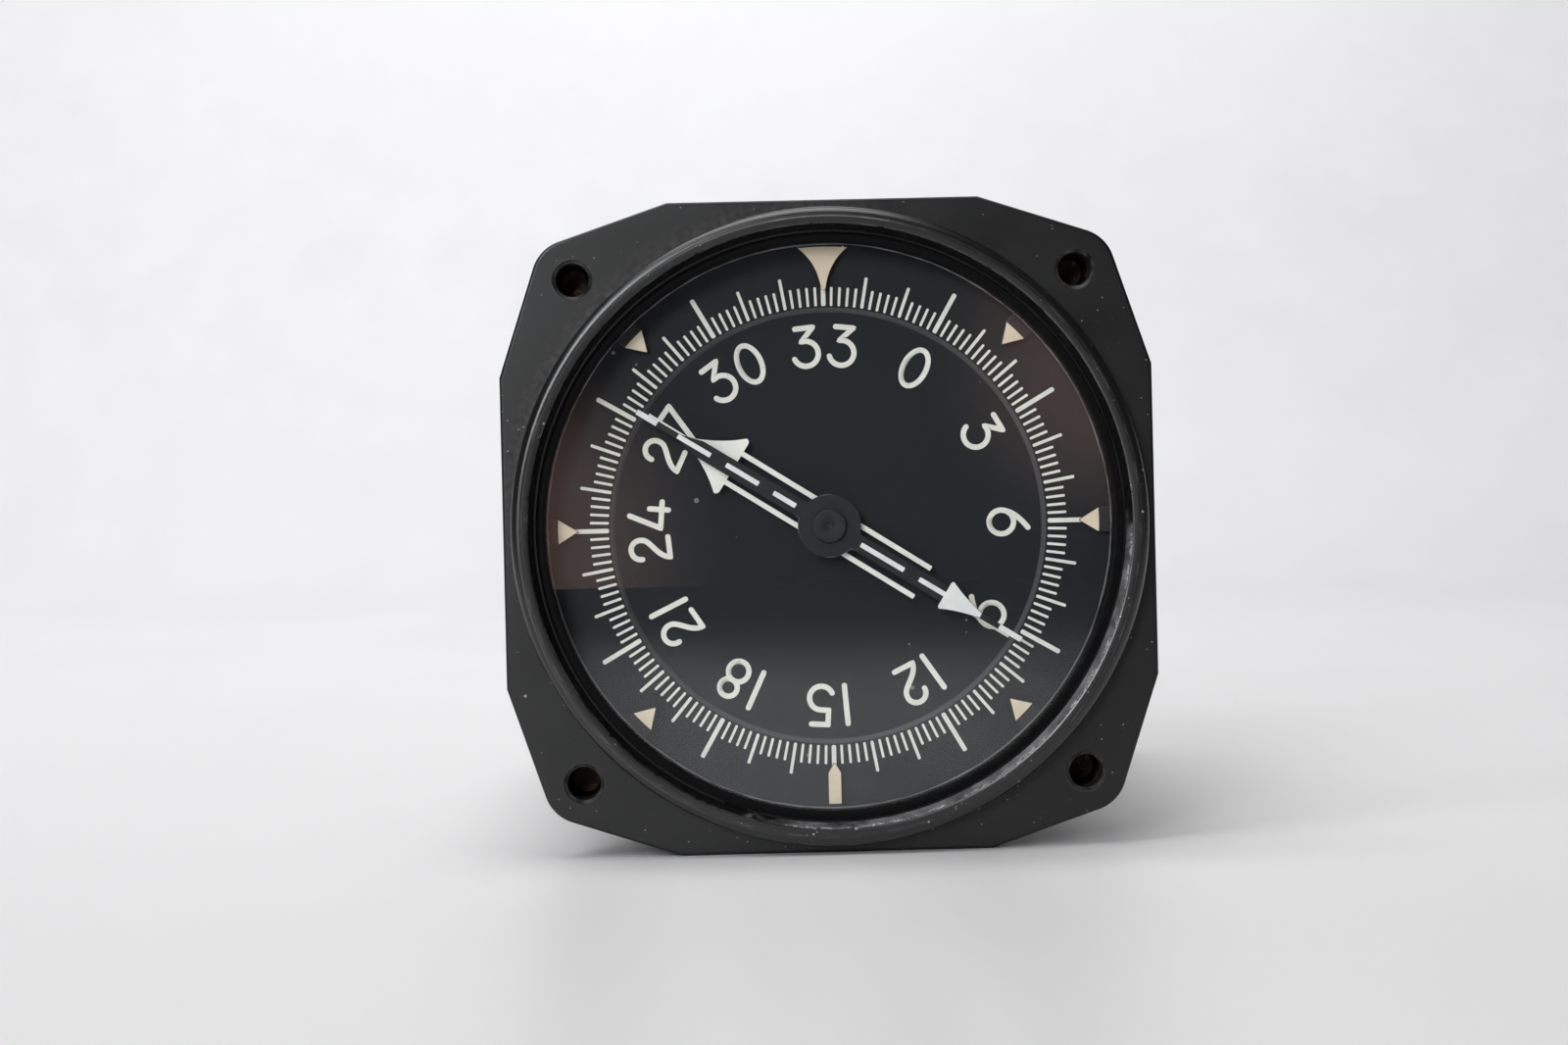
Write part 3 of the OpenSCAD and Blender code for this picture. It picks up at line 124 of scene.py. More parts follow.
def remap(value, low, high, to_low=0.0, to_high=1.0):
    wires = {"Value": value, "From Min": low, "From Max": high, "To Min": to_low, "To Max": to_high}
    return put(value.id_data, "MapRange", wires).outputs["Result"]


def between(value, low=0.0, high=1.0):
    """Value that goes from low to high over the usual reach of a cloud."""
    return remap(value, CLOUD_LOW, CLOUD_HIGH, low, high)


def tint(mask, under, over):
    """Colour that goes from under to over as the mask rises."""
    under, over = [(*colour, 1) if isinstance(colour, tuple) else colour for colour in (under, over)]
    return put(mask.id_data, "Mix", {0: mask, 6: under, 7: over}, data_type="RGBA").outputs[2]


def place_of(tree):
    return put(tree, "TexCoord").outputs["Object"]


def along(tree, axis):
    """Place on the surface along the x, y or z axis, numbered from 0."""
    return put(tree, "SeparateXYZ", {0: place_of(tree)}).outputs[axis]


def cloud(tree, scale, detail=3, stretch=(1, 1, 1)):
    """Soft random value over the surface, with so many patches to a metre."""
    spread = put(tree, "Mapping", {"Vector": place_of(tree), "Scale": stretch})
    return put(tree, "TexNoise", {"Vector": spread.outputs[0], "Scale": scale, "Detail": detail}).outputs[0]


def relief(height, microns):
    """Normal of a surface with relief of that depth."""
    return put(height.id_data, "Bump", {"Height": height, "Distance": microns / 1e6}).outputs[0]


def arc(centre, radius, start, end, steps):
    """Points of an arc, with its angles in degrees."""
    angles = [math.radians(start + (end - start) * i / steps) for i in range(steps + 1)]
    return [(centre[0] + radius * math.cos(a), centre[1] + radius * math.sin(a)) for a in angles]


def white_table_finish():
    finish, tree = new_finish("white_table", 0.35)
    streaks = cloud(tree, 40, 4, stretch=(1, 0.05, 1))
    patches = cloud(tree, 6, 2)
    mask = plus(times(streaks, 0.6), times(patches, 0.4))
    return feed(finish, tint(mask, (0.69, 0.68, 0.685), (0.8, 0.795, 0.8)), between(streaks, 0.38, 0.55))


rows = ([(TABLE_FRONT, 0)] + arc((SWEEP_FROM, SWEEP_R), SWEEP_R, -90, 0, SWEEP_STEPS)
        + [(SWEEP_FROM + SWEEP_R, SWEEP_R + WALL_H)])
bpy.ops.mesh.primitive_grid_add(x_subdivisions=1, y_subdivisions=len(rows) - 1, size=2)
table = bpy.context.active_object
table.name = "table_and_wall"
for point in table.data.vertices:
    x = point.co.x * TABLE_HALF_W
    y, z = rows[round((point.co.y + 1) / 2 * (len(rows) - 1))]
    if y >= SWEEP_FROM:
        y -= x * WALL_TURN
    point.co = (x, y, TABLE_TOP + z + y * TABLE_RISE)
smooth(table, 40)
paint(table, white_table_finish())

# Camera at the photograph's place, and five soft lamps: one low in front on the left, one high on
# the left like a window, a wide one overhead, a small one over the table in front of the
# instrument, and a strong one that brightens the wall.
FOCAL, SENSOR_W, IMAGE_W = 81.0, 36, 1600
FOCAL_PX = FOCAL / SENSOR_W * IMAGE_W
SEEN_FROM_LEFT, SEEN_FROM_ABOVE, ROLL = math.radians(1.9), math.radians(0.6), math.radians(-1.36)
DISTANCE = 0.441
CENTRE_RIGHT_PX, CENTRE_DOWN_PX = 46.65, 3.6
DAYLIGHT = (1.0, 0.99, 0.98)

to_camera = Vector((-math.sin(SEEN_FROM_LEFT) * math.cos(SEEN_FROM_ABOVE),
                    -math.cos(SEEN_FROM_LEFT) * math.cos(SEEN_FROM_ABOVE), math.sin(SEEN_FROM_ABOVE)))
lens = bpy.data.cameras.new("photo_camera")
lens.lens, lens.sensor_width, lens.clip_start, lens.clip_end = FOCAL, SENSOR_W, 0.01, 20
camera = bpy.data.objects.new("photo_camera", lens)
scene.collection.objects.link(camera)
camera.location = to_camera * DISTANCE
camera.rotation_mode = "QUATERNION"
seen = Vector((CENTRE_RIGHT_PX, -CENTRE_DOWN_PX, -FOCAL_PX)).normalized()
camera.rotation_quaternion = ((-to_camera).to_track_quat("-Z", "Y") @ Quaternion((0, 0, 1), ROLL)
                              @ seen.rotation_difference(Vector((0, 0, -1))))
scene.camera = camera


def soft_lamp(name, at, towards, size, power, colour, spread):
    """Oblong lamp, with its power in watts and the spread of its light in degrees."""
    light = bpy.data.lights.new(name, "AREA")
    light.shape, light.size, light.size_y = "RECTANGLE", size[0], size[1]
    light.energy, light.color, light.spread = power, colour, math.radians(spread)
    lamp = bpy.data.objects.new(name, light)
    scene.collection.objects.link(lamp)
    lamp.location = at
    lamp.rotation_euler = (Vector(towards) - Vector(at)).to_track_quat("-Z", "Y").to_euler()


soft_lamp("front_lamp", (-0.41, -1.2, 0.36), (0, 0, 0), (0.42, 0.42), 0.82, (0.965, 0.985, 1.0), 54)
soft_lamp("window_lamp", (-0.62, -0.63, 0.74), (0, 0, 0), (0.46, 0.46), 1.05, (0.94, 0.97, 1.0), 100)
soft_lamp("overhead_lamp", (-0.1, -0.1, 0.9), (0.07, -0.1, -0.04), (0.9, 0.8), 1.88, DAYLIGHT, 100)
soft_lamp("table_lamp", (0.04, -0.32, 0.9), (0.04, -0.34, -0.04), (0.3, 0.3), 0.115, DAYLIGHT, 60)
soft_lamp("wall_lamp", (-0.28, 0.3, 1.2), (-0.3, 1.2, 0.42), (1.0, 0.6), 12.2, (0.98, 0.99, 1.0), 140)

# The room in front is dim and brown. Two faint warm patches of it show in the cover glass.
# Past the table's edges the camera sees a pale haze instead.
room = bpy.data.worlds.new("room")
scene.world = room
room.use_nodes = True
room_tree = room.node_tree
towards_room = put(room_tree, "TexCoord").outputs["Generated"]


def room_patch(direction, reach):
    away = put(room_tree, "VectorMath", {0: towards_room, 1: Vector(direction).normalized()},
               operation="DISTANCE").outputs["Value"]
    return put(room_tree, "MapRange", {"Value": away, "From Min": reach, "From Max": reach * 0.25},
               interpolation_type="SMOOTHSTEP").outputs[0]


warm = math_of("MAXIMUM", room_patch((-0.055, -1, -0.015), 0.06), room_patch((0.115, -1, 0.035), 0.055))
dim = tint(warm, (0.042, 0.041, 0.044), (0.55, 0.35, 0.3))
height_seen = put(room_tree, "SeparateXYZ", {0: towards_room}).outputs[2]
haze = tint(remap(height_seen, -0.2, 0.3), (0.1, 0.1, 0.102), (0.75, 0.75, 0.76))
seen_directly = put(room_tree, "LightPath").outputs["Is Camera Ray"]
room_tree.links.new(tint(seen_directly, dim, haze), room_tree.nodes["Background"].inputs["Color"])
scene.view_settings.view_transform = "Standard"

# Bezel: the square flange with four lugged corners, the raised ring and the spigot behind, in one
# casting, turned and drilled, then painted satin black. Four radial screws hold it to the case.
# Bare metal shows in thin lines where the paint has worn off its edges.
RING_R, RING_FRONT, RING_REAR, RING_ROUND = 39.6875, -4.0, 2.4, 1.3
FACE_LINE_R, FACE_LINE_DEEP = 38.54, 0.09
SPIGOT_R, SPIGOT_BORE_R, SPIGOT_END = 38.3975, 36.9975, 13.0
BORE_R, WINDOW_R, SEAT, LIP_REAR = 37.4975, 35.3975, 1.2, 3.1
GLASS_FRONT, GROOVE_R, GROOVE_FRONT = -1.3, 37.8475, -2.4
FLANGE_T, FLANGE_HALF, EAR_R, TAPER = 4.8, 40.8, 5.1, 18.4
BOLT, BOLT_R, SINK_R, SINK_DEEP = 31.4325, 2.1, 2.55, 0.45


def new_group(name, takes, gives):
    """A group of shader nodes with number inputs and one output."""
    tree = bpy.data.node_groups.new(name, "ShaderNodeTree")
    for label in takes:
        tree.interface.new_socket(label, in_out="INPUT", socket_type="NodeSocketFloat")
    tree.interface.new_socket(gives, in_out="OUTPUT", socket_type="NodeSocketFloat")
    return tree, tree.nodes.new("NodeGroupInput").outputs, tree.nodes.new("NodeGroupOutput").inputs[0]


def length_of(first, second):
    """Length of two steps at right angles."""
    return math_of("SQRT", plus(times(first, first), times(second, second)))


def off_axis(tree):
    """Distance from the dial's axis."""
    return length_of(along(tree, 0), along(tree, 2))


def make_worn_edges():
    """Mask of the outer edges, broken up as wear is."""
    tree, takes, mask = new_group("worn_edges", ["Width", "Patches", "Amount"], "Mask")
    rounded = put(tree, "Bevel", {"Radius": takes["Width"]}, samples=4).outputs[0]
    flat = put(tree, "NewGeometry").outputs["Normal"]
    alike = put(tree, "VectorMath", {0: rounded, 1: flat}, operation="DOT_PRODUCT").outputs["Value"]
    low = math_of("SUBTRACT", 0.95, takes["Amount"])
    worn = remap(cloud(tree, takes["Patches"], 4), low, plus(low, 0.12))
    tree.links.new(times(remap(alike, 0.985, 0.86), worn), mask)
    return tree


def make_dust():
    """Mask of scattered specks of dust, one at most in each cell."""
    tree, takes, mask = new_group("dust", ["Cells", "Share", "Size"], "Mask")
    cells = put(tree, "TexVoronoi", {"Vector": place_of(tree), "Scale": takes["Cells"]})
    chance = put(tree, "SeparateColor", {"Color": cells.outputs["Color"]})
    reach = times(takes["Size"], remap(chance.outputs[1], 0, 1, 0.35, 1.0))
    near = math_of("LESS_THAN", cells.outputs["Distance"], reach)
    chosen = math_of("LESS_THAN", chance.outputs[0], takes["Share"])
    tree.links.new(times(near, chosen), mask)
    return tree


def make_turning():
    """Fine rings about the dial's axis, as a lathe tool leaves them."""
    tree, takes, height = new_group("turning", ["Pitch"], "Height")
    path = plus(off_axis(tree), times(along(tree, 1), 1.7))
    rings = put(tree, "TexNoise", {"W": math_of("DIVIDE", path, takes["Pitch"]), "Scale": 1.0, "Detail": 3.0},
                noise_dimensions="1D")
    tree.links.new(rings.outputs[0], height)
    return tree


worn_edges, dust, turning = make_worn_edges(), make_dust(), make_turning()


def group(tree, kind, **inputs):
    """Mask or height from one of the three groups."""
    return put(tree, "Group", inputs, node_tree=kind).outputs[0]


def rubbed_foot(tree, inner, outer):
    """Mask of a lighter brownish band on the flange along the ring's foot, on the upper left."""
    fade = math_of("POWER", remap(off_axis(tree), outer, inner), 1.6)
    side = remap(plus(along(tree, 2), times(along(tree, 0), -0.8)), 0.018, 0.048)
    on_flange = math_of("GREATER_THAN", along(tree, 1), -0.0006)
    broken = times(remap(cloud(tree, 1100, 5), 0.4, 0.7), on_flange)
    return times(times(fade, side), broken)


def hole_mouths(tree):
    """Mask of the four bolt holes' walls, painted lighter grey: paint rubbed by the screws, and painted light
    where the walls catch the lamps.
    """
    aside = [plus(math_of("ABSOLUTE", along(tree, axis)), -BOLT * MM) for axis in (0, 2)]
    return times(remap(length_of(*aside), 0.0026, 0.00235), remap(cloud(tree, 900, 4), 0.35, 0.6))


def satin_black_paint(name, turned=0.0, wear=0.45, dusty=0.1, tone=0.021, rough=0.4, rubbed=None):
    """Satin black stove paint, dusty, with edges worn to a dull grey. Turned is the pitch of the rings
    on the raised ring, and rubbed the radii of a lighter brownish band on the flange along the ring's
    foot, which also lightens the bolt holes' walls, partly as worn paint and partly as painted light."""
    finish, tree = new_finish(name, 0.43, Coat_Roughness=0.23)
    patches = cloud(tree, 90, 4)
    height = cloud(tree, 9000, 2)
    black = tint(patches, (tone * 0.8, tone * 0.82, tone * 0.9), (tone * 1.25, tone * 1.28, tone * 1.4))
    worn = group(tree, worn_edges, Width=0.00022, Patches=260.0, Amount=wear)
    coat = tint(worn, black, (0.16, 0.16, 0.165))
    if rubbed:
        coat = tint(rubbed_foot(tree, *rubbed), coat, (0.055, 0.05, 0.045))
        # Bolt holes' walls painted lighter grey: worn paint, and painted light for the light they catch.
        coat = tint(hole_mouths(tree), coat, (0.06, 0.057, 0.054))
    coarse = group(tree, dust, Cells=620.0, Share=dusty, Size=0.12)
    powder = group(tree, dust, Cells=1500.0, Share=dusty * 1.4, Size=0.15)
    specks = math_of("MAXIMUM", coarse, times(powder, 0.6))
    gloss = between(patches, rough - 0.03, rough + 0.04)
    if turned:
        on_ring = math_of("LESS_THAN", along(tree, 1), -0.0003)
        height = plus(height, times(times(group(tree, turning, Pitch=turned * MM), on_ring), 0.5))
        gloss = plus(gloss, times(on_ring, -0.01))
        feed(finish, Coat_Weight=times(on_ring, 0.45))
    return feed(finish, tint(specks, coat, (0.34, 0.33, 0.31)), gloss, relief(height, 9))


def set_modifier(piece, kind, **settings):
    """Adds a modifier and applies it."""
    take(piece)
    modifier = piece.modifiers.new("work", kind)
    for name, value in settings.items():
        setattr(modifier, name, value)
    bpy.ops.object.modifier_apply(modifier=modifier.name)


def true_flats(piece):
    """Keeps flat faces flat to the light next to rounded edges."""
    set_modifier(smooth(piece), "WEIGHTED_NORMAL", weight=100, keep_sharp=True)


def start_piece(name, points, fill):
    """New piece with a closed loop of points in millimetres, ready for its edit."""
    deselect()
    bpy.ops.mesh.primitive_circle_add(vertices=len(points), fill_type=fill)
    piece = bpy.context.active_object
    piece.name = piece.data.name = name
    for vertex, point in zip(piece.data.vertices, points):
        vertex.co = Vector(point) * MM
    bpy.ops.object.mode_set(mode="EDIT")
    bpy.ops.mesh.select_all(action="SELECT")
    return piece


def turned_piece(name, profile, steps=160, angle=32):
    """Piece turned about the dial's axis from a closed profile of radius and depth in millimetres."""
    piece = start_piece(name, [(radius, depth, 0) for radius, depth in profile], "NOTHING")
    bpy.ops.mesh.spin(steps=steps, angle=2 * math.pi, center=(0, 0, 0), axis=(0, 1, 0))
    bpy.ops.mesh.select_all(action="SELECT")
    bpy.ops.mesh.remove_doubles(threshold=2e-6)
    bpy.ops.mesh.normals_make_consistent(inside=False)
    return smooth(piece, angle)


def flat_piece(name, outline, front, rear, bevel=0.0, segments=2):
    """Flat piece cut to an outline of x and z, between two depths, all in millimetres."""
    piece = start_piece(name, [(x, front, z) for x, z in outline], "NGON")
    bpy.ops.mesh.extrude_region_move(TRANSFORM_OT_translate={"value": (0, (rear - front) * MM, 0)})
    bpy.ops.mesh.select_all(action="SELECT")
    bpy.ops.mesh.normals_make_consistent(inside=False)
    if bevel:
        set_modifier(piece, "BEVEL", width=bevel * MM, segments=segments, limit_method="ANGLE",
                     angle_limit=math.radians(50))
    return smooth(piece)


def combine(piece, tool, operation):
    """Cuts a tool from a piece, or joins the two into one solid."""
    set_modifier(piece, "BOOLEAN", operation=operation, solver="EXACT", object=tool)
    bpy.data.objects.remove(tool)
    return piece


def plug(radius, front, rear):
    """Profile of a plain round plug."""
    return [(0, front), (radius, front), (radius, rear), (0, rear)]


def four_corners(reach):
    """Places at the corners of a square round the dial's axis."""
    return [Matrix.Translation((x * MM, 0, z * MM)) for x in (-reach, reach) for z in (-reach, reach)]


def copies(piece, places):
    """Copies of a piece at each of the places, in exchange for the piece itself."""
    made = []
    for place in places:
        other = piece.copy()
        other.data = piece.data.copy()
        other.data.transform(place)
        scene.collection.objects.link(other)
        made.append(other)
    bpy.data.objects.remove(piece)
    return made


def drill_corners(piece, reach, profile, steps):
    """Drills the four corners of a square with a drill of that profile."""
    for drill in copies(turned_piece("drill", profile, steps), four_corners(reach)):
        combine(piece, drill, "DIFFERENCE")


def quartered(corner, turn):
    """Closed outline of one corner, repeated four times with that turn in degrees between."""
    outline = []
    for quarter in range(4):
        a = math.radians(turn * quarter)
        outline += [(x * math.cos(a) - z * math.sin(a), x * math.sin(a) + z * math.cos(a)) for x, z in corner]
    return outline


lean = math.radians(TAPER)
flat_end = (BOLT * (math.sin(lean) + math.cos(lean)) + EAR_R - FLANGE_HALF * math.cos(lean)) / math.sin(lean)
ear = [(flat_end, FLANGE_HALF)] + arc((BOLT, BOLT), EAR_R, 90 - TAPER, TAPER, 12) + [(FLANGE_HALF, flat_end)]
bezel = flat_piece("bezel_casting", quartered(ear, -90), 0, FLANGE_T, 0.4, 3)
ring_edge = arc((RING_R - RING_ROUND, RING_FRONT + RING_ROUND), RING_ROUND, 0, -68, 10)
face_line = [(FACE_LINE_R + 0.08, RING_FRONT + FACE_LINE_DEEP), (FACE_LINE_R, RING_FRONT + FACE_LINE_DEEP),
             (FACE_LINE_R - 0.12, RING_FRONT)]
bore = [(BORE_R + 0.3, RING_FRONT), (BORE_R + 0.06, RING_FRONT + 0.08), (BORE_R, RING_FRONT + 0.3),
        (BORE_R, GROOVE_FRONT), (GROOVE_R, GROOVE_FRONT), (GROOVE_R, GLASS_FRONT), (BORE_R, GLASS_FRONT),
        (BORE_R, SEAT), (WINDOW_R, SEAT), (WINDOW_R, LIP_REAR), (SPIGOT_BORE_R, LIP_REAR),
        (SPIGOT_BORE_R, SPIGOT_END)]
outside = [(SPIGOT_R, SPIGOT_END), (SPIGOT_R, RING_REAR), (RING_R, RING_REAR)]
combine(bezel, turned_piece("bore_cutter", plug(BORE_R + 1, -1, 6), 240), "DIFFERENCE")
combine(bezel, turned_piece("ring_turning", outside + ring_edge + face_line + bore, 240), "UNION")
drill_corners(bezel, BOLT, [(0, -1), (SINK_R + 1, -1), (BOLT_R, SINK_DEEP), (BOLT_R, 6), (0, 6)], 48)
true_flats(bezel)
paint(bezel, satin_black_paint("bezel_paint", turned=0.35, dusty=0.2, tone=0.0045, rough=0.31,
                               rubbed=(0.0396, 0.0428)))
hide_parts("bezel")
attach(bezel, "housing")

# Anchor nuts: four closed self-locking nuts of brass, pressed into the rear of the corner lugs for
# the panel screws. They stop the view through the holes. Their brass is coloured almost black as
# painted shade for the deep holes, and only a glint of brass shows in each.
NUT_BORE_R, NUT_R, NUT_FRONT, NUT_END = 2.02, 3.0, 4.8, 11.2
NUT_TURNS, NUT_PITCH, NUT_THREAD_DEEP = 9, 0.55, 0.25


def metal(name, colour, rough=0.3, shade=0.8, grain=6000, depth=4, turned=0.0, tarnish=None,
          tarnished=0.3, stretch=(1, 1, 1)):
    """Bare or plated metal: tone and roughness drift over it, with tool marks or grain, and some tarnish.
    Turned is the pitch of the tool marks in millimetres, depth the marks' or the grain's in microns."""
    finish, tree = new_finish(name, Metallic=1.0)
    patches = cloud(tree, 220, 4)
    base = tint(between(patches), tuple(c * shade for c in colour), colour)
    if tarnish:
        spots = remap(cloud(tree, 900, 5), 0.72 - tarnished / 2, 0.8 - tarnished / 2)
        base = tint(spots, base, tarnish)
    marks = group(tree, turning, Pitch=turned * MM) if turned else cloud(tree, grain, 2, stretch)
    return feed(finish, base, remap(patches, 0.25, 0.75, rough - 0.06, rough + 0.1), relief(marks, depth))


def gather(name, pieces):
    """Joins like pieces into one object."""
    take(pieces[0])
    for piece in pieces:
        piece.select_set(True)
    bpy.ops.object.join()
    pieces[0].name = pieces[0].data.name = name
    return pieces[0]


def finish_nodes(finish, *names):
    """Gives nodes of the frame their finish."""
    for name in names:
        nodes[name].material_slots[0].material = finish


thread = []
for i in range(NUT_TURNS):
    crest = NUT_FRONT + 0.4 + i * NUT_PITCH
    thread += [(NUT_BORE_R, crest - NUT_THREAD_DEEP), (NUT_BORE_R - NUT_THREAD_DEEP, crest)]
nut_body = [(NUT_BORE_R + 0.3, NUT_FRONT), (NUT_R + 0.5, NUT_FRONT), (NUT_R + 0.5, 5.5), (NUT_R, 5.7),
            (NUT_R, 9.6), (NUT_R - 0.5, 10.4), (NUT_R - 1.6, 11.0)]
nut_end = [(0, NUT_END), (0, NUT_END - 0.9), (NUT_BORE_R, NUT_END - 1.2)]
nut = turned_piece("nut", nut_end + thread[::-1] + nut_body, 36)
nuts = gather("anchor_nuts", copies(nut, four_corners(BOLT)))
# Brass coloured almost black: painted shade for the deep holes.
paint(nuts, metal("darkened_nut_brass", (0.12, 0.08, 0.045), 0.4, 0.4, tarnish=(0.02, 0.014, 0.01), tarnished=0.8,
                  turned=0.3))
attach(nuts, "housing")

# Retaining ring: a split spring ring of wire-drawn steel in the bore's groove, in front of the glass.
# A fillet of dark sealing compound covers it all round, smeared by hand and torn along its edges,
# and a thin film of the compound lies on the glass's edge.
FILM_R, FILM_END_R = 35.46, 36.9
FILM_FRONT, FILM_REAR = GLASS_FRONT - 0.04, GLASS_FRONT - 0.004

finish_nodes(metal("blued_ring", (0.016, 0.0165, 0.018), 0.42, 0.6, turned=0.2), "glass_retaining_ring")


def sealing_compound():
    """Black compound, painted a dull grey low on the right as painted light where the lamps catch it,
    with painted glints along its torn outer edge there. The film on the glass is black."""
    finish, tree = new_finish("sealing_compound", 0.05)
    lumps = cloud(tree, 1500, 6)
    smears = cloud(tree, 500, 4)
    low_right = plus(times(along(tree, 0), 0.62), times(along(tree, 2), -0.78))
    reach = off_axis(tree)
    # Painted light: grey low on the right where the lamps catch the fillet, and painted glints on its torn
    # outer edge there.
    lit_low_right = times(remap(plus(low_right, times(smears, 0.012)), 0.028, 0.037), remap(reach, 0.03664, 0.0368))
    outermost = remap(plus(reach, times(smears, 0.0008)), 0.0377, 0.038)
    crumb_glints = times(times(remap(cloud(tree, 3000, 4), 0.48, 0.55), lit_low_right), outermost)
    compound_black = tint(smears, (0.002, 0.002, 0.002), (0.005, 0.0048, 0.005))
    dull = tint(between(smears), (0.06, 0.056, 0.059), (0.19, 0.18, 0.187))
    return feed(finish, tint(crumb_glints, tint(lit_low_right, compound_black, dull), (0.66, 0.65, 0.66)),
                between(lumps, 0.3, 0.6), relief(lumps, 60))


def read_round(point):
    """Angle of a point round the dial's axis, the way it lies, and its radius and depth in millimetres."""
    a = math.atan2(point.co.x, point.co.z)
    way = Vector((math.sin(a), math.cos(a), 0))
    return a, way, math.hypot(point.co.x, point.co.z) / MM, point.co.y / MM


def set_round(point, a, radius, depth):
    point.co = (math.sin(a) * radius * MM, depth * MM, math.cos(a) * radius * MM)


fillet = turned_piece("fillet", [(37.86, -3.8), (37.8, -3.93), (37.66, -3.9), (37.54, -3.78), (37.42, -3.56),
                                 (37.3, -3.3), (37.17, -3.02), (37.04, -2.74), (36.92, -2.5), (36.85, -2.33),
                                 (37.6, -2.33), (37.62, -3.5)], 900, 60)
for point in fillet.data.vertices:
    a, way, radius, depth = read_round(point)
    inner_skin = -3.92 < depth < -2.4 and radius < 37.6
    outer_lip = radius > 37.64 and depth < -3.8
    if inner_skin or outer_lip:
        torn = noise.noise(way * 26) * 0.16 + noise.noise(way * 95 + Vector((0, 0, depth * 0.9))) * 0.12
        outward = max(0.0, min(1.0, (radius - 37.5) / 0.3))
        radius += torn * (0.35 + 0.8 * outward) + 0.04 * noise.noise(way * 240)
        depth += (noise.noise(way * 60 + Vector((4, 1, radius))) * 0.1
                  + noise.noise(way * 210 + Vector((7, 3, radius * 3))) * 0.09)
        depth = max(min(depth, -2.36), -3.98)
    set_round(point, a, radius, depth)
film = turned_piece("film", [(FILM_R, FILM_REAR), (FILM_R + 0.04, FILM_FRONT + 0.01), (36.0, FILM_FRONT),
                             (FILM_END_R, FILM_FRONT), (FILM_END_R, FILM_REAR)], 240, 60)
sealant = gather("glass_sealant", [fillet, film])
paint(sealant, sealing_compound())
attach(sealant, "housing")

# Cover glass: a disc of plate glass with a ground edge, held between the sealant and the gasket.
# Its front is clean but for a little lint.


def cover_glass_finish():
    """Clear glass. Shadow rays pass it, and so do rays from the dial and its surroundings, so that the
    lamps light the dial once."""
    finish, tree = new_finish("cover_glass", Base_Color=(0.985, 0.992, 0.99, 1), Metallic=0.0, IOR=1.5,
                              Transmission_Weight=1.0)
    feed(finish, rough=times(group(tree, dust, Cells=420.0, Share=0.07, Size=0.09), 0.9))
    path = put(tree, "LightPath").outputs
    passes = math_of("MAXIMUM", path["Is Shadow Ray"], path["Is Diffuse Ray"])
    passes = math_of("MAXIMUM", passes, math_of("GREATER_THAN", path["Ray Depth"], 2.5))
    clear = put(tree, "BsdfTransparent").outputs[0]
    mixed = put(tree, "MixShader", {0: passes, 1: tree.nodes["Principled BSDF"].outputs[0], 2: clear})
    tree.links.new(mixed.outputs[0], tree.nodes["Material Output"].inputs["Surface"])
    return finish


finish_nodes(cover_glass_finish(), "cover_glass")

# Glass gasket: a flat ring of black rubber behind the glass. Its inner edge has squeezed out
# unevenly and shows through the glass as a wavy line, its lip painted light grey as a painted highlight.


def black_rubber():
    finish, tree = new_finish("black_rubber", 0.06)
    bloom = cloud(tree, 400, 4)
    fine = cloud(tree, 7000, 3)
    # Painted highlight: a light grey lip on the gasket's inner edge.
    lip_highlight = remap(plus(off_axis(tree), times(bloom, 0.0003)), 0.03552, 0.03536)
    black = tint(bloom, (0.001, 0.001, 0.0011), (0.0025, 0.0025, 0.0027))
    return feed(finish, tint(lip_highlight, black, (0.16, 0.16, 0.168)), between(fine, 0.5, 0.72),
                relief(fine, 1.2))


rubber = black_rubber()
gasket = turned_piece("squeezed_glass_gasket", [(37.29, 0.7), (35.4, 0.7), (35.22, 0.78), (35.16, 0.95),
                                                (35.22, 1.12), (35.4, 1.2), (37.29, 1.2)], 720, 60)
for point in gasket.data.vertices:
    a, way, radius, depth = read_round(point)
    if radius < 36:
        wave = 0.1 * noise.noise(way * 5) + 0.07 * noise.noise(way * 14 + Vector((0, 0, 3)))
        set_round(point, a, radius + wave, depth)
paint(gasket, rubber)
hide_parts("glass_gasket")
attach(gasket, "housing")
finish_nodes(rubber, "can_gasket", "rear_cover_gasket")

# Index ring: a blackened ring behind the glass with eight tabs over the card. The marks are painted
# on them in cream: a flared lubber mark on top, a narrow mark at the bottom and six triangles.
INDEX_FRONT, MARK_T = 3.6, 0.03
BASE_R, LUBBER_BASE_R = 33.9975, 35.0975


def matte_black(name, tone=0.013, wear=0.42, turned=0.0, within=None):
    """Matt black over metal: fine tooth or tool marks, and bare metal where an edge is rubbed. Within
    keeps the rubbed edges to that distance from the axis."""
    finish, tree = new_finish(name, 0.3)
    patches = cloud(tree, 150, 4)
    worn = group(tree, worn_edges, Width=0.00012, Patches=700.0, Amount=wear)
    if within:
        worn = times(worn, math_of("LESS_THAN", off_axis(tree), within))
    base = tint(patches, (tone * 0.75, tone * 0.8, tone * 0.9), (tone * 1.3, tone * 1.35, tone * 1.5))
    height = group(tree, turning, Pitch=turned * MM) if turned else cloud(tree, 9000, 2)
    return feed(finish, tint(worn, base, (0.3, 0.3, 0.3)), between(patches, 0.5, 0.65), relief(height, 10))


def dial_paint(name, light, dark, rough=0.55, cells=3000.0):
    """Paint put on by hand or screen: tone drifts, a fine grain, and faint dirt in it."""
    finish, tree = new_finish(name, 0.35)
    fine = cloud(tree, cells, 3)
    dirt = remap(cloud(tree, 1700, 5), 0.62, 0.8, 0.0, 0.45)
    base = tint(between(cloud(tree, 500, 4)), dark, light)
    return feed(finish, tint(dirt, base, tuple(c * 0.72 for c in dark)),
                between(fine, rough - 0.08, rough + 0.1), relief(fine, 10))


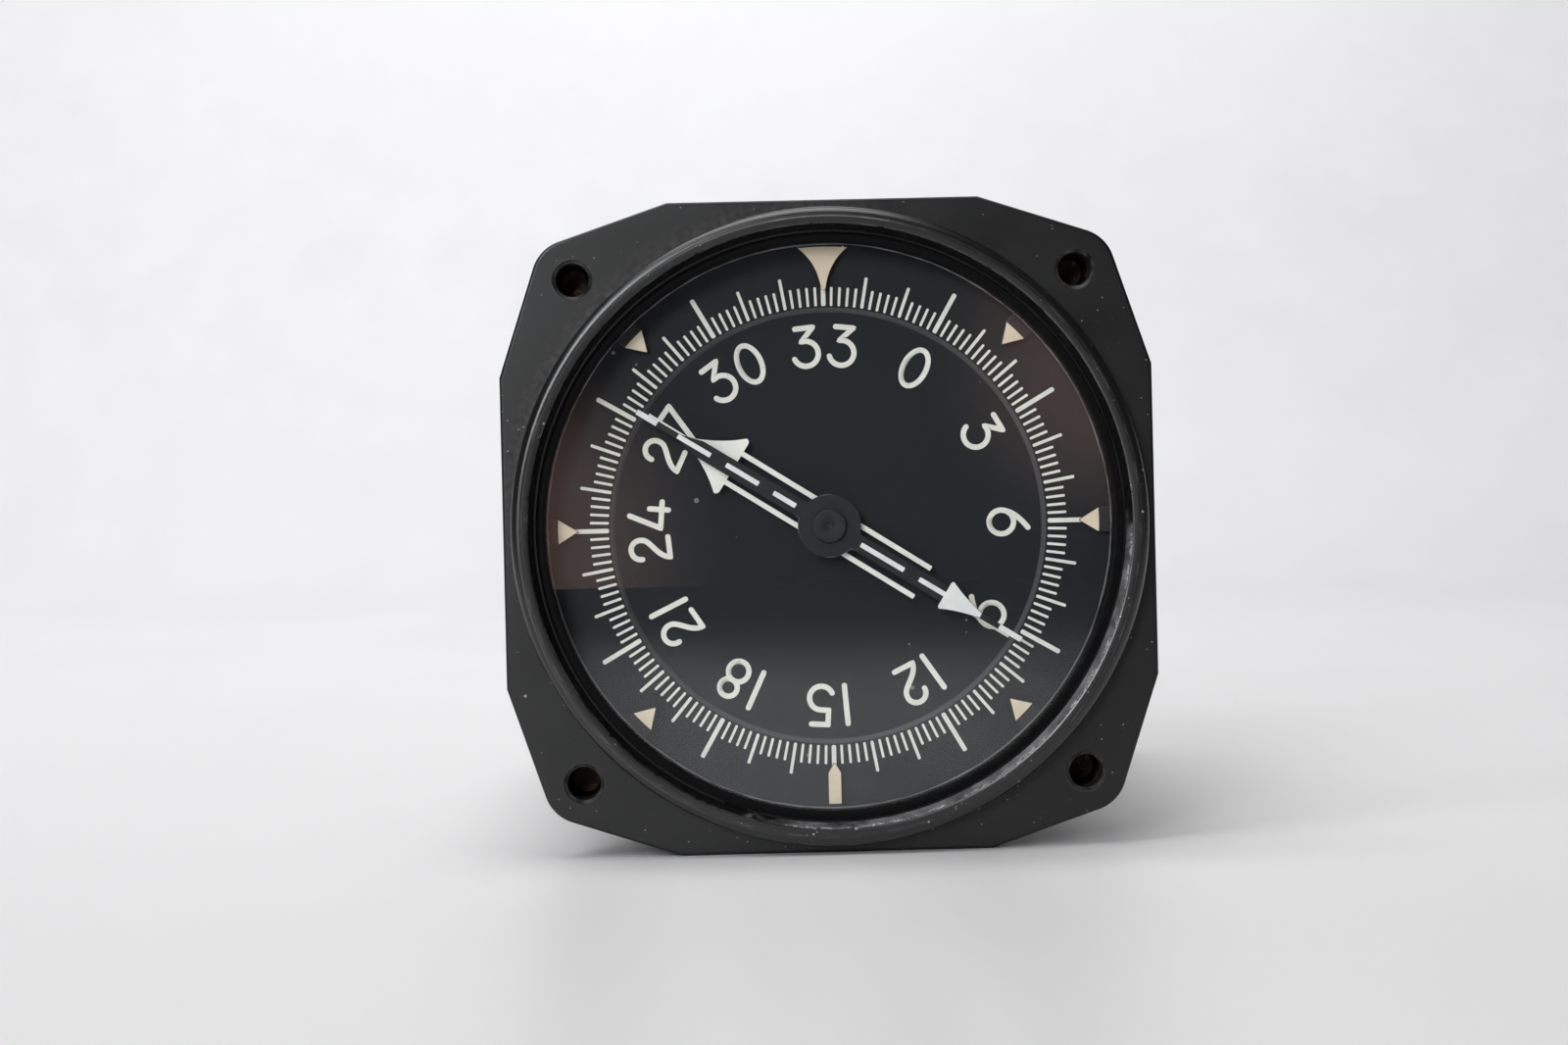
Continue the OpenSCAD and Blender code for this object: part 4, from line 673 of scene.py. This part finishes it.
def mirrored(half):
    """Closed outline from its right half, listed from one end to the other."""
    return half + [(-x, z) for x, z in reversed(half)]


def curve(pulls, steps=14):
    """Points of a smooth curve from the first point to the last, drawn towards those between."""
    last = len(pulls) - 1
    points = []
    for i in range(steps + 1):
        t = i / steps
        shares = [math.comb(last, k) * t ** k * (1 - t) ** (last - k) for k in range(last + 1)]
        points.append(tuple(sum(s * v for s, v in zip(shares, values)) for values in zip(*pulls)))
    return points


def at_clock(clock):
    """Turn about the dial's axis in degrees, clockwise as the dial is read."""
    return Matrix.Rotation(math.radians(clock), 4, "Y")


def painted_mark(name, outline, face, thick, sunk=0.005):
    """Film of paint on a face at that depth, sunk a little into it."""
    return flat_piece(name, outline, face - thick, face + sunk)


def index_mark(outline):
    return painted_mark("mark", outline, INDEX_FRONT, MARK_T)


finish_nodes(matte_black("dial_black"), "index_ring", "dial_spacer")
triangle = index_mark([(0.05, BASE_R - 2.35), (1.5, BASE_R), (0.8, BASE_R + 0.04), (0, BASE_R + 0.05),
                       (-0.8, BASE_R + 0.04), (-1.5, BASE_R), (-0.05, BASE_R - 2.35)])
marks = copies(triangle, [at_clock(clock) for clock in (45, 90, 135, 225, 270, 315)])
flare = curve([(0.25, LUBBER_BASE_R - 5.35), (0.68, LUBBER_BASE_R - 2.0), (3.12, LUBBER_BASE_R - 0.14)])
marks.append(index_mark(mirrored([(0.12, LUBBER_BASE_R - 5.4)] + flare
                                 + [(1.6, LUBBER_BASE_R - 0.04), (0.01, LUBBER_BASE_R)])))
marks.append(index_mark(mirrored([(0.06, -29.93), (0.78, -31.1), (0.78, -34.98), (0.01, -35.0)])))
marks = gather("index_marks", marks)
paint(marks, dial_paint("index_cream", (0.84, 0.73, 0.56), (0.74, 0.63, 0.47)))
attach(marks, "housing")

# Compass card: a turned aluminium dish, blackened, with a grey line painted along its step as a
# painted highlight of the step's edge. Its graduations and heading numbers are filled in pale
# green-white paint, with strokes of even width and round ends, as an engraver's cutter leaves them.
# The space inside the numbers is bare.
RIM_FRONT, FLOOR_FRONT, PAINT_T = 4.9, 5.4, 0.025
TICK_FROM, HEADING = 27.7, 330
NUMBER_R, STROKE, TOP, FOOT = 23.0, 0.68, 2.12, -2.7
SHARP_TURN, BLUNT_REACH, LEAST_LEAN = 0.6, 1.2, 0.35


def specked(base, colour, **inputs):
    """Colour with specks of dust over it."""
    return tint(group(base.id_data, dust, **inputs), base, colour)


def card_black():
    finish, tree = new_finish("card_black", 0.14)
    patches = cloud(tree, 60, 4)
    base = tint(patches, (0.0085, 0.0115, 0.0145), (0.0125, 0.0155, 0.0185))
    reach = off_axis(tree)
    step_highlight = times(remap(reach, 0.02688, 0.02698), remap(reach, 0.02756, 0.02744))
    # Painted highlight: a grey line on the step, where its edge would catch the light.
    base = tint(step_highlight, base, (0.07, 0.073, 0.078))
    return feed(finish, specked(base, (0.2, 0.2, 0.19), Cells=300.0, Share=0.05, Size=0.13),
                between(patches, 0.48, 0.58), relief(cloud(tree, 8000, 2), 0.8))


def tick(width, outer):
    """One graduation: a long mark with rounded corners."""
    half, corner = width / 2, width * 0.32
    side = [(half - corner, TICK_FROM), (half - corner * 0.3, TICK_FROM + corner * 0.3),
            (half, TICK_FROM + corner), (half, outer - corner),
            (half - corner * 0.3, outer - corner * 0.3), (half - corner, outer)]
    return painted_mark("tick", mirrored(side), RIM_FRONT, PAINT_T)


def stroke_outline(line, half):
    """Outline of a stroke along a line: round ends, and sharp turns that come to a blunt point outside."""
    line = [Vector(point) for point in line]
    ways = [(end - start).normalized() for start, end in zip(line, line[1:])]
    sides = {1: [], -1: []}
    for point, before, after in zip(line, ways[:1] + ways, ways + ways[-1:]):
        onward = (before + after).normalized()
        normal = Vector((-onward.y, onward.x))
        reach = half / max(LEAST_LEAN, normal.dot(Vector((-after.y, after.x))))
        outer = -1 if before.x * after.y - before.y * after.x > 0 else 1
        for side in (1, -1):
            if side == outer and before.dot(after) < SHARP_TURN:
                sides[side] += [point + Vector((-before.y, before.x)) * side * half,
                                point + normal * side * half * BLUNT_REACH,
                                point + Vector((-after.y, after.x)) * side * half]
            else:
                sides[side].append(point + normal * side * reach)

    def cap(end, direction):
        start = math.degrees(math.atan2(direction.y, direction.x))
        return [Vector(p) for p in arc(end, half, start + 90, start - 90, 8)][1:-1]

    outline = sides[1] + cap(line[-1], ways[-1]) + sides[-1][::-1] + cap(line[0], -ways[0])
    return [tuple(point) for point in outline]


def ellipse(centre, across, up):
    return [(centre[0] + across * x, centre[1] + up * z) for x, z in arc((0, 0), 1, 0, 360, 48)[:-1]]


def filled(outline):
    return painted_mark("stroke", outline, FLOOR_FRONT, PAINT_T)


def stroke(line):
    return filled(stroke_outline(line, STROKE / 2))


def loop(centre, across, up):
    """A closed stroke, such as a nought."""
    body = filled(ellipse(centre, across + STROKE / 2, up + STROKE / 2))
    hole = flat_piece("hole", ellipse(centre, across - STROKE / 2, up - STROKE / 2), 5, 6)
    return combine(body, hole, "DIFFERENCE")


finish_nodes(card_black(), "compass_card")
ticks, marked = [], set()
for step, width, outer in ((30, 0.58, 33.3), (10, 0.4, 31.65), (2, 0.33, 30.1)):
    clocks = [clock for clock in range(0, 360, step) if clock not in marked]
    marked.update(clocks)
    ticks += copies(tick(width, outer), [at_clock(clock) for clock in clocks])
ticks = gather("card_graduations", ticks)

digits = {
    "0": loop((0, -0.3), 1.43, 2.44),
    "1": stroke([(0, TOP), (0, FOOT)]),
    "2": stroke([(-1.2, 0.82)] + arc((0.02, 0.9), 1.22, 180, -12, 18)
                + curve([(1.2, 0.5), (1.0, -0.5), (-1.1, -1.1), (-1.3, FOOT)]) + [(1.24, FOOT)]),
    "3": stroke([(-1.12, TOP), (1.12, TOP), (-0.5, 0.42)] + arc((-0.12, -1.12), 1.58, 98, -160, 26)),
    "4": stroke([(-0.3, TOP), (-1.6, -1.86), (1.72, -1.86)]),
    "5": stroke([(0.98, TOP), (-1.1, TOP), (-1.1, 0.3)] + arc((-0.12, -1.2), 1.5, 96, -152, 24)),
    "6": loop((0.05, -1.13), 1.5, 1.55),
    "7": stroke([(-1.2, TOP), (1.2, TOP), (-0.5, FOOT)]),
    "8": loop((0, -1.37), 1.29, 1.31),
}
combine(digits["4"], stroke([(0.75, -0.32), (0.75, FOOT)]), "UNION")
combine(digits["6"], stroke(curve([(-1.45, -1.2), (-1.4, 0.5), (0.8, TOP + 0.1)])), "UNION")
combine(digits["8"], loop((0.05, 1.02), 1.12, 1.1), "UNION")
OFFSETS = {12: (-1.74, 1.45), 15: (-1.74, 1.62), 18: (-1.97, 1.2), 21: (-1.45, 1.68), 24: (-2.45, 1.95),
           27: (-2.1, 2.15), 30: (-2.3, 2.17), 33: (-2.35, 2.4)}
places = {digit: [] for digit in "0123456789"}
for number in range(0, 36, 3):
    for digit, offset in zip(str(number), OFFSETS.get(number, (0,))):
        clock = number * 10 - HEADING + math.degrees(math.atan2(offset, NUMBER_R))
        places[digit].append(at_clock(clock) @ Matrix.Translation((0, 0, NUMBER_R * MM)))
upside_down = Matrix.Translation((0, 0, -0.0006)) @ at_clock(180)
places["6"] += [place @ upside_down for place in places.pop("9")]
numbers = []
for digit, figure in digits.items():
    numbers += copies(figure, places[digit])
numbers = gather("card_numbers", numbers)
for piece in (ticks, numbers):
    paint(piece, dial_paint("number_paint", (0.86, 0.86, 0.78), (0.77, 0.77, 0.7)))
    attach(piece, "card")

# Double-bar pointer: two bars, their arrowheads and needle ends punched from one sheet of brass and
# riveted to a small hub. The front is painted cream, and bare brass shows on its cut sides.


def cream_on_brass():
    """Cream paint on the front face, tarnished brass on the sides that the punch has cut."""
    finish, tree = new_finish("cream_on_brass", 0.4)
    fine = cloud(tree, 5200, 3)
    cream = tint(between(cloud(tree, 420, 4)), (0.83, 0.83, 0.76), (0.92, 0.92, 0.85))
    side = tint(fine, (0.24, 0.15, 0.07), (0.46, 0.33, 0.18))
    facing = put(tree, "SeparateXYZ", {0: put(tree, "NewGeometry").outputs["Normal"]}).outputs[1]
    front = math_of("LESS_THAN", facing, -0.5)
    dirt = remap(cloud(tree, 1500, 5), 0.62, 0.78, 0.0, 0.35)
    return feed(finish, tint(front, side, tint(dirt, cream, (0.34, 0.3, 0.23))), between(fine, 0.38, 0.55),
                relief(fine, 8), Metallic=remap(front, 0, 1, 0.75, 0.0))


finish_nodes(cream_on_brass(), "double_pointer")
finish_nodes(matte_black("hub_black", 0.009, 0.32), "double_pointer_hub")

# Single-bar pointer: punched sheet, painted matt black, with white dashes, a white arrowhead and
# white ends screened on its front. The cap is its collet: turned, blackened and pressed on the
# shaft, with a centre mark in its face.
POINTER_FRONT, INK_T, DASH_W, DASH_CORNER = 2.1, 0.014, 0.62, 0.07
HEAD_BASE, HEAD_TIP, HEAD_HALF, NECK_HALF, HEAD_CORNER = 16.85, 22.1, 1.9, 0.3, 0.3
TAIL_FROM, HEAD_CURVE, POINTER_CLOCK = 13.1, 0.42, 122
CAP_R, CAP_FRONT, CAP_REAR, CAP_BORE_R, CAP_FACE_T = 2.17, 1.3, 2.1, 0.82, 0.3
CAP_ROUND, DIMPLE_R, DIMPLE_DEEP = 0.22, 0.45, 0.17


def ink(outline):
    return painted_mark("ink", outline, POINTER_FRONT, INK_T, 0.004)


def dash(inner, outer, width=DASH_W):
    """Long mark with cut corners."""
    half = width / 2
    return ink(mirrored([(half - DASH_CORNER, inner), (half, inner + DASH_CORNER),
                         (half, outer - DASH_CORNER), (half - DASH_CORNER, outer)]))


finish_nodes(matte_black("pointer_black", 0.008, 0.5, within=0.0044), "single_pointer")
bend = (NECK_HALF + (HEAD_HALF - NECK_HALF) * HEAD_CURVE, HEAD_BASE + (HEAD_TIP - HEAD_BASE) * HEAD_CURVE)
barb = (HEAD_HALF - 0.05, HEAD_BASE + HEAD_CORNER + 0.1)
head_side = (curve([(NECK_HALF, HEAD_TIP), bend, barb], 8)
             + arc((HEAD_HALF - HEAD_CORNER, HEAD_BASE + HEAD_CORNER), HEAD_CORNER, 0, -90, 4)
             + [(DASH_W / 2, HEAD_BASE), (DASH_W / 2, TAIL_FROM + DASH_CORNER),
                (DASH_W / 2 - DASH_CORNER, TAIL_FROM)])
dashes = [dash(*ends) for ends in ((4.6, 10.9), (-8.15, -4.9), (-15.05, -10.3), (-22.1, -17.3))]
tips = [dash(24.8, 28.05, 0.7), dash(-28.05, -25.1, 0.7)]
markings = gather("pointer_markings", dashes + tips + [ink(mirrored(head_side))])
markings.data.transform(at_clock(POINTER_CLOCK))
paint(markings, dial_paint("pointer_white", (0.84, 0.86, 0.84), (0.7, 0.72, 0.7), 0.5, 4200.0))
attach(markings, "single_bar_pointer")

cap_rear = [(CAP_BORE_R, CAP_FRONT + CAP_FACE_T), (CAP_BORE_R, CAP_REAR), (CAP_R, CAP_REAR)]
cap_edge = arc((CAP_R - CAP_ROUND, CAP_FRONT + CAP_ROUND), CAP_ROUND, 0, -90, 5)
dimple = [(DIMPLE_R + 0.1, CAP_FRONT), (DIMPLE_R + 0.02, CAP_FRONT + 0.03),
          (DIMPLE_R - 0.05, CAP_FRONT + 0.12), (0, CAP_FRONT + DIMPLE_DEEP), (0, CAP_FRONT + CAP_FACE_T)]
cap = turned_piece("collet_cap", cap_rear + cap_edge + dimple, 96)
paint(cap, matte_black("cap_black", 0.009, 0.3, turned=0.16))
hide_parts("pointer_cap")
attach(cap, "single_bar_pointer")

# Shafts, hub and bearings: the card's hollow shaft and hub, the two pointer shafts inside it, and
# small ball bearings. The shafts are ground steel, the hub is turned aluminium, the bushes bronze.
finish_nodes(metal("ground_steel", (0.62, 0.61, 0.59), 0.16, 0.86, turned=0.06, depth=1),
             "card_shaft", "double_shaft", "single_shaft", "idler_shaft")
finish_nodes(metal("race_steel", (0.56, 0.56, 0.56), 0.12, 0.9, turned=0.05, depth=0.6),
             "outer_races", "card_inner_races", "double_inner_races", "single_inner_races")
finish_nodes(metal("ball_steel", (0.68, 0.68, 0.68), 0.09, 0.95, grain=9000, depth=0.4), "bearing_balls")
finish_nodes(metal("turned_hub", (0.7, 0.69, 0.66), 0.3, 0.84, turned=0.22), "card_hub")
finish_nodes(metal("bush_bronze", (0.56, 0.33, 0.15), 0.3, 0.75, turned=0.2, tarnish=(0.14, 0.08, 0.05)),
             "idler_bushes", "card_shaft_bush", "double_shaft_bush")

# Card drive: brass gears hobbed from turned blanks, with lightening holes, between the card's shaft
# and the motor. Old oil has darkened them in patches.
finish_nodes(metal("gear_brass", (0.78, 0.56, 0.23), 0.27, 0.82, turned=0.24,
                   tarnish=(0.3, 0.18, 0.07), tarnished=0.22), "card_gear", "idler_gear", "motor_pinion")

# Plates and posts: rolled aluminium plates, milled and given a clear gold chromate, held apart by
# turned posts and steel screws with slotted heads.
finish_nodes(metal("chromated_plate", (0.68, 0.62, 0.47), 0.34, 0.85, grain=2600, stretch=(0.06, 1, 1),
                   depth=6), "front_plate", "gear_plate", "mid_plate", "rear_plate", "board_brackets")
finish_nodes(metal("turned_posts", (0.7, 0.69, 0.67), 0.26, 0.86, turned=0.3),
             "frame_posts", "synchro_clamps")
finish_nodes(metal("plated_screws", (0.52, 0.52, 0.5), tarnish=(0.22, 0.2, 0.17), tarnished=0.25),
             "frame_screws")

# Synchros: three of them round the shafts, each a turned housing with end caps, a stator of thin
# steel stampings, and windings of enamelled copper wire in its slots. The rotors are made alike.
LAMINATION, WIRE_PITCH = 0.00036, 0.00025
JOINT_DARK = (0.03, 0.026, 0.022)


def stack(tree):
    """Sheets of a stack of stampings, counted along the dial's axis, and the mask of the joints between."""
    sheets = math_of("DIVIDE", along(tree, 1), LAMINATION)
    return sheets, remap(math_of("PINGPONG", sheets, 0.5), 0.02, 0.12)


def stampings(name, steel):
    """Stack of thin steel stampings: fine joints across the stack, each sheet a little different."""
    finish, tree = new_finish(name, Metallic=1.0)
    sheets, gap = stack(tree)
    tone = put(tree, "TexWhiteNoise", {"W": math_of("FLOOR", sheets)}, noise_dimensions="1D").outputs[0]
    plain = tint(tone, tuple(c * 0.72 for c in steel), steel)
    varnish = remap(cloud(tree, 260, 4), 0.52, 0.66, 0.0, 0.6)
    return feed(finish, tint(gap, JOINT_DARK, tint(varnish, plain, (0.17, 0.1, 0.05))),
                remap(tone, 0, 1, 0.34, 0.5), relief(gap, 20))


def enamelled_wire():
    """Copper wire under amber enamel, wound in tight turns and varnished, with painted shade in the grooves
    between turns.
    """
    finish, tree = new_finish("enamelled_wire", Metallic=0.85, Coat_Weight=0.5, Coat_Roughness=0.2)
    wander = put(tree, "Mapping", {"Vector": place_of(tree), "Rotation": (0.6, 0.9, 0.3)}).outputs[0]
    turns = put(tree, "TexWave", {"Vector": wander, "Scale": 0.31 / WIRE_PITCH, "Distortion": 1.4,
                                  "Detail": 1.0, "Detail Scale": 0.4}).outputs["Fac"]
    drift = cloud(tree, 420, 3)
    lit = tint(drift, (0.46, 0.17, 0.06), (0.68, 0.3, 0.11))
    # The dark colour between turns is painted shade in the grooves.
    return feed(finish, tint(turns, (0.12, 0.035, 0.012), lit), between(drift, 0.25, 0.42),
                relief(turns, 80))


finish_nodes(metal("synchro_case", (0.6, 0.58, 0.53), 0.32, 0.86, turned=0.4, tarnish=(0.3, 0.28, 0.24),
                   tarnished=0.15), "card_synchro_housing", "pointer_synchro_housings", "synchro_end_caps")
finish_nodes(stampings("core_stampings", (0.36, 0.36, 0.38)), "card_synchro_stator",
             "pointer_synchro_stators", "card_rotor", "double_rotor", "single_rotor")
finish_nodes(enamelled_wire(), "card_synchro_windings", "pointer_synchro_windings")

# Servo motor: a gearhead and a drawn steel case with a stepped end, passivated. It stands on the
# gear plate, and its pinion drives the idler gear.
finish_nodes(metal("motor_case", (0.5, 0.51, 0.53), 0.3, 0.84, turned=0.35, tarnish=(0.24, 0.23, 0.22),
                   tarnished=0.2), "servo_motor")

# Servo amplifier: a board of green glass-epoxy with tinned tracks, power transistors in steel cans
# and blue-sleeved capacitors lying along it, on two pairs of angle brackets.
BAND_PITCH, BAND_HALF = 0.004, 0.0009


def circuit_board():
    finish, tree = new_finish("circuit_board", 0.55, Coat_Weight=0.4, Coat_Roughness=0.3)
    spread = put(tree, "Mapping", {"Vector": place_of(tree), "Scale": (1, 260, 340)}).outputs[0]
    paths = put(tree, "TexVoronoi", {"Vector": spread, "Scale": 1.0, "Randomness": 0.55}, feature="F1",
                distance="MANHATTAN")
    track = remap(math_of("ABSOLUTE", plus(paths.outputs["Distance"], -0.5)), 0.1, 0.06)
    weave = cloud(tree, 3000, 2)
    board = tint(weave, (0.045, 0.075, 0.03), (0.075, 0.12, 0.05))
    return feed(finish, tint(track, board, (0.5, 0.5, 0.47)), between(weave, 0.3, 0.42), relief(track, 30),
                Metallic=times(track, 0.9))


def sleeved_capacitor():
    finish, tree = new_finish("sleeved_capacitor", 0.5, Coat_Weight=0.3)
    creases = cloud(tree, 900, 4, stretch=(1, 0.3, 1))
    sleeve = tint(cloud(tree, 180, 3), (0.03, 0.07, 0.2), (0.05, 0.1, 0.28))
    band = math_of("LESS_THAN", math_of("PINGPONG", along(tree, 1), BAND_PITCH), BAND_HALF)
    return feed(finish, tint(band, sleeve, (0.42, 0.45, 0.5)), between(creases, 0.3, 0.48),
                relief(creases, 30))


finish_nodes(circuit_board(), "amplifier_board")
finish_nodes(sleeved_capacitor(), "amplifier_capacitors")
finish_nodes(metal("transistor_can", (0.66, 0.65, 0.62), 0.2, 0.86, grain=4000, tarnish=(0.34, 0.32, 0.28),
                   tarnished=0.12), "amplifier_transistors")

# Supply transformer: a core of stampings on two feet, with a coil wrapped in varnished tape that
# stands out above and below it.
COIL_FROM, TAPE_W = 0.01203, 0.0031


def transformer_finish():
    finish, tree = new_finish("taped_transformer", 0.5)
    coil = math_of("GREATER_THAN", math_of("ABSOLUTE", along(tree, 2)), COIL_FROM)
    lap = remap(math_of("PINGPONG", math_of("DIVIDE", along(tree, 1), TAPE_W), 1.0), 0.0, 0.12)
    drift = cloud(tree, 240, 4)
    taped = tint(lap, (0.12, 0.06, 0.02), tint(drift, (0.34, 0.19, 0.05), (0.5, 0.31, 0.1)))
    joint = stack(tree)[1]
    steel = tint(joint, JOINT_DARK, (0.2, 0.19, 0.18))
    return feed(finish, tint(coil, steel, taped), between(drift, 0.34, 0.52),
                relief(tint(coil, joint, lap), 40), Metallic=remap(coil, 0, 1, 0.9, 0.0))


finish_nodes(transformer_finish(), "supply_transformer")

# Case: a spun aluminium can that slides over the bezel's spigot, and a thick rear cover on a rubber
# gasket. Both are painted satin black, and worn on their edges. Their screws are blackened steel.
finish_nodes(satin_black_paint("can_paint", wear=0.4, dusty=0.08, tone=0.017, rough=0.42), "case_can")
finish_nodes(satin_black_paint("cover_paint", wear=0.5, tone=0.017), "rear_cover")
finish_nodes(metal("blackened_screws", (0.12, 0.12, 0.125), 0.36, 0.6, tarnish=(0.34, 0.33, 0.31),
                   tarnished=0.12), "case_screws", "rear_cover_screws", "connector_screws")

# Rear receptacle: an aluminium shell with a square flange, external thread and five keys inside its
# mouth, plated dull olive. A hard black insert holds nineteen gilt contact pins.
PLATE_HALF, PLATE_FRONT, PLATE_REAR, PLATE_ROUND = 17.5, 129.5, 131.5, 2.4
NECK_R, NECK_END = 13.8, 133.5
SHELL_R, SHELL_BORE_R, SHELL_END = 14.3, 12.6, 143.0
THREAD_PITCH, THREAD_DEPTH = 1.06, 0.5
KEY_FRONT, KEY_REACH, KEYWAYS = 135.0, 0.55, {0: 1.1, 95: 0.6, 155: 0.6, 205: 0.6, 265: 0.6}
SHELL_SCREW, SHELL_SCREW_R = 13.5, 1.1

root_r = SHELL_R - THREAD_DEPTH
thread = []
for i in range(int((SHELL_END - 1.2 - NECK_END - 0.4) / THREAD_PITCH)):
    start = NECK_END + 0.4 + i * THREAD_PITCH
    thread += [(root_r, start), (SHELL_R, start + 0.42 * THREAD_PITCH),
               (SHELL_R, start + 0.58 * THREAD_PITCH)]
neck = [(SHELL_BORE_R, PLATE_FRONT + 0.5), (NECK_R, PLATE_FRONT + 0.5), (NECK_R, NECK_END + 0.2)]
mouth = [(root_r, SHELL_END - 0.9), (root_r, SHELL_END - 0.3), (root_r - 0.3, SHELL_END),
         (SHELL_BORE_R + 0.35, SHELL_END), (SHELL_BORE_R, SHELL_END - 0.35)]
round_at = PLATE_HALF - PLATE_ROUND
plate = quartered(arc((round_at, round_at), PLATE_ROUND, 0, 90, 6), 90)
shell = flat_piece("receptacle_shell", plate, PLATE_FRONT, PLATE_REAR, 0.25)
combine(shell, turned_piece("shell_bore", plug(SHELL_BORE_R + 0.3, 128, 133), 96), "DIFFERENCE")
combine(shell, turned_piece("shell_turning", neck + thread + mouth, 128), "UNION")
inner, outer = SHELL_BORE_R - KEY_REACH, SHELL_BORE_R + 0.4
for clock, half in KEYWAYS.items():
    key = flat_piece("key", [(-half, inner), (half, inner), (half, outer), (-half, outer)], KEY_FRONT,
                     SHELL_END - 0.6, 0.1, 1)
    key.data.transform(at_clock(clock))
    combine(shell, key, "UNION")
drill_corners(shell, SHELL_SCREW, plug(SHELL_SCREW_R, 128, 132), 24)
true_flats(shell)
paint(shell, metal("olive_plating", (0.34, 0.31, 0.17), 0.42, 0.78, turned=0.4, tarnish=(0.5, 0.48, 0.4),
                   tarnished=0.12))
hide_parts("connector_shell")
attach(shell, "housing")


def moulded_insert():
    finish, tree = new_finish("moulded_insert", 0.45)
    drift = cloud(tree, 160, 3)
    base = tint(drift, (0.02, 0.02, 0.021), (0.036, 0.035, 0.035))
    return feed(finish, specked(base, (0.3, 0.29, 0.27), Cells=500.0, Share=0.12, Size=0.14),
                between(drift, 0.4, 0.52), relief(cloud(tree, 6000, 3), 12))


finish_nodes(moulded_insert(), "connector_insert")
finish_nodes(metal("gilt_contacts", (0.85, 0.62, 0.26), 0.2, 0.88, turned=0.3, tarnish=(0.5, 0.34, 0.14),
                   tarnished=0.1), "connector_contacts")
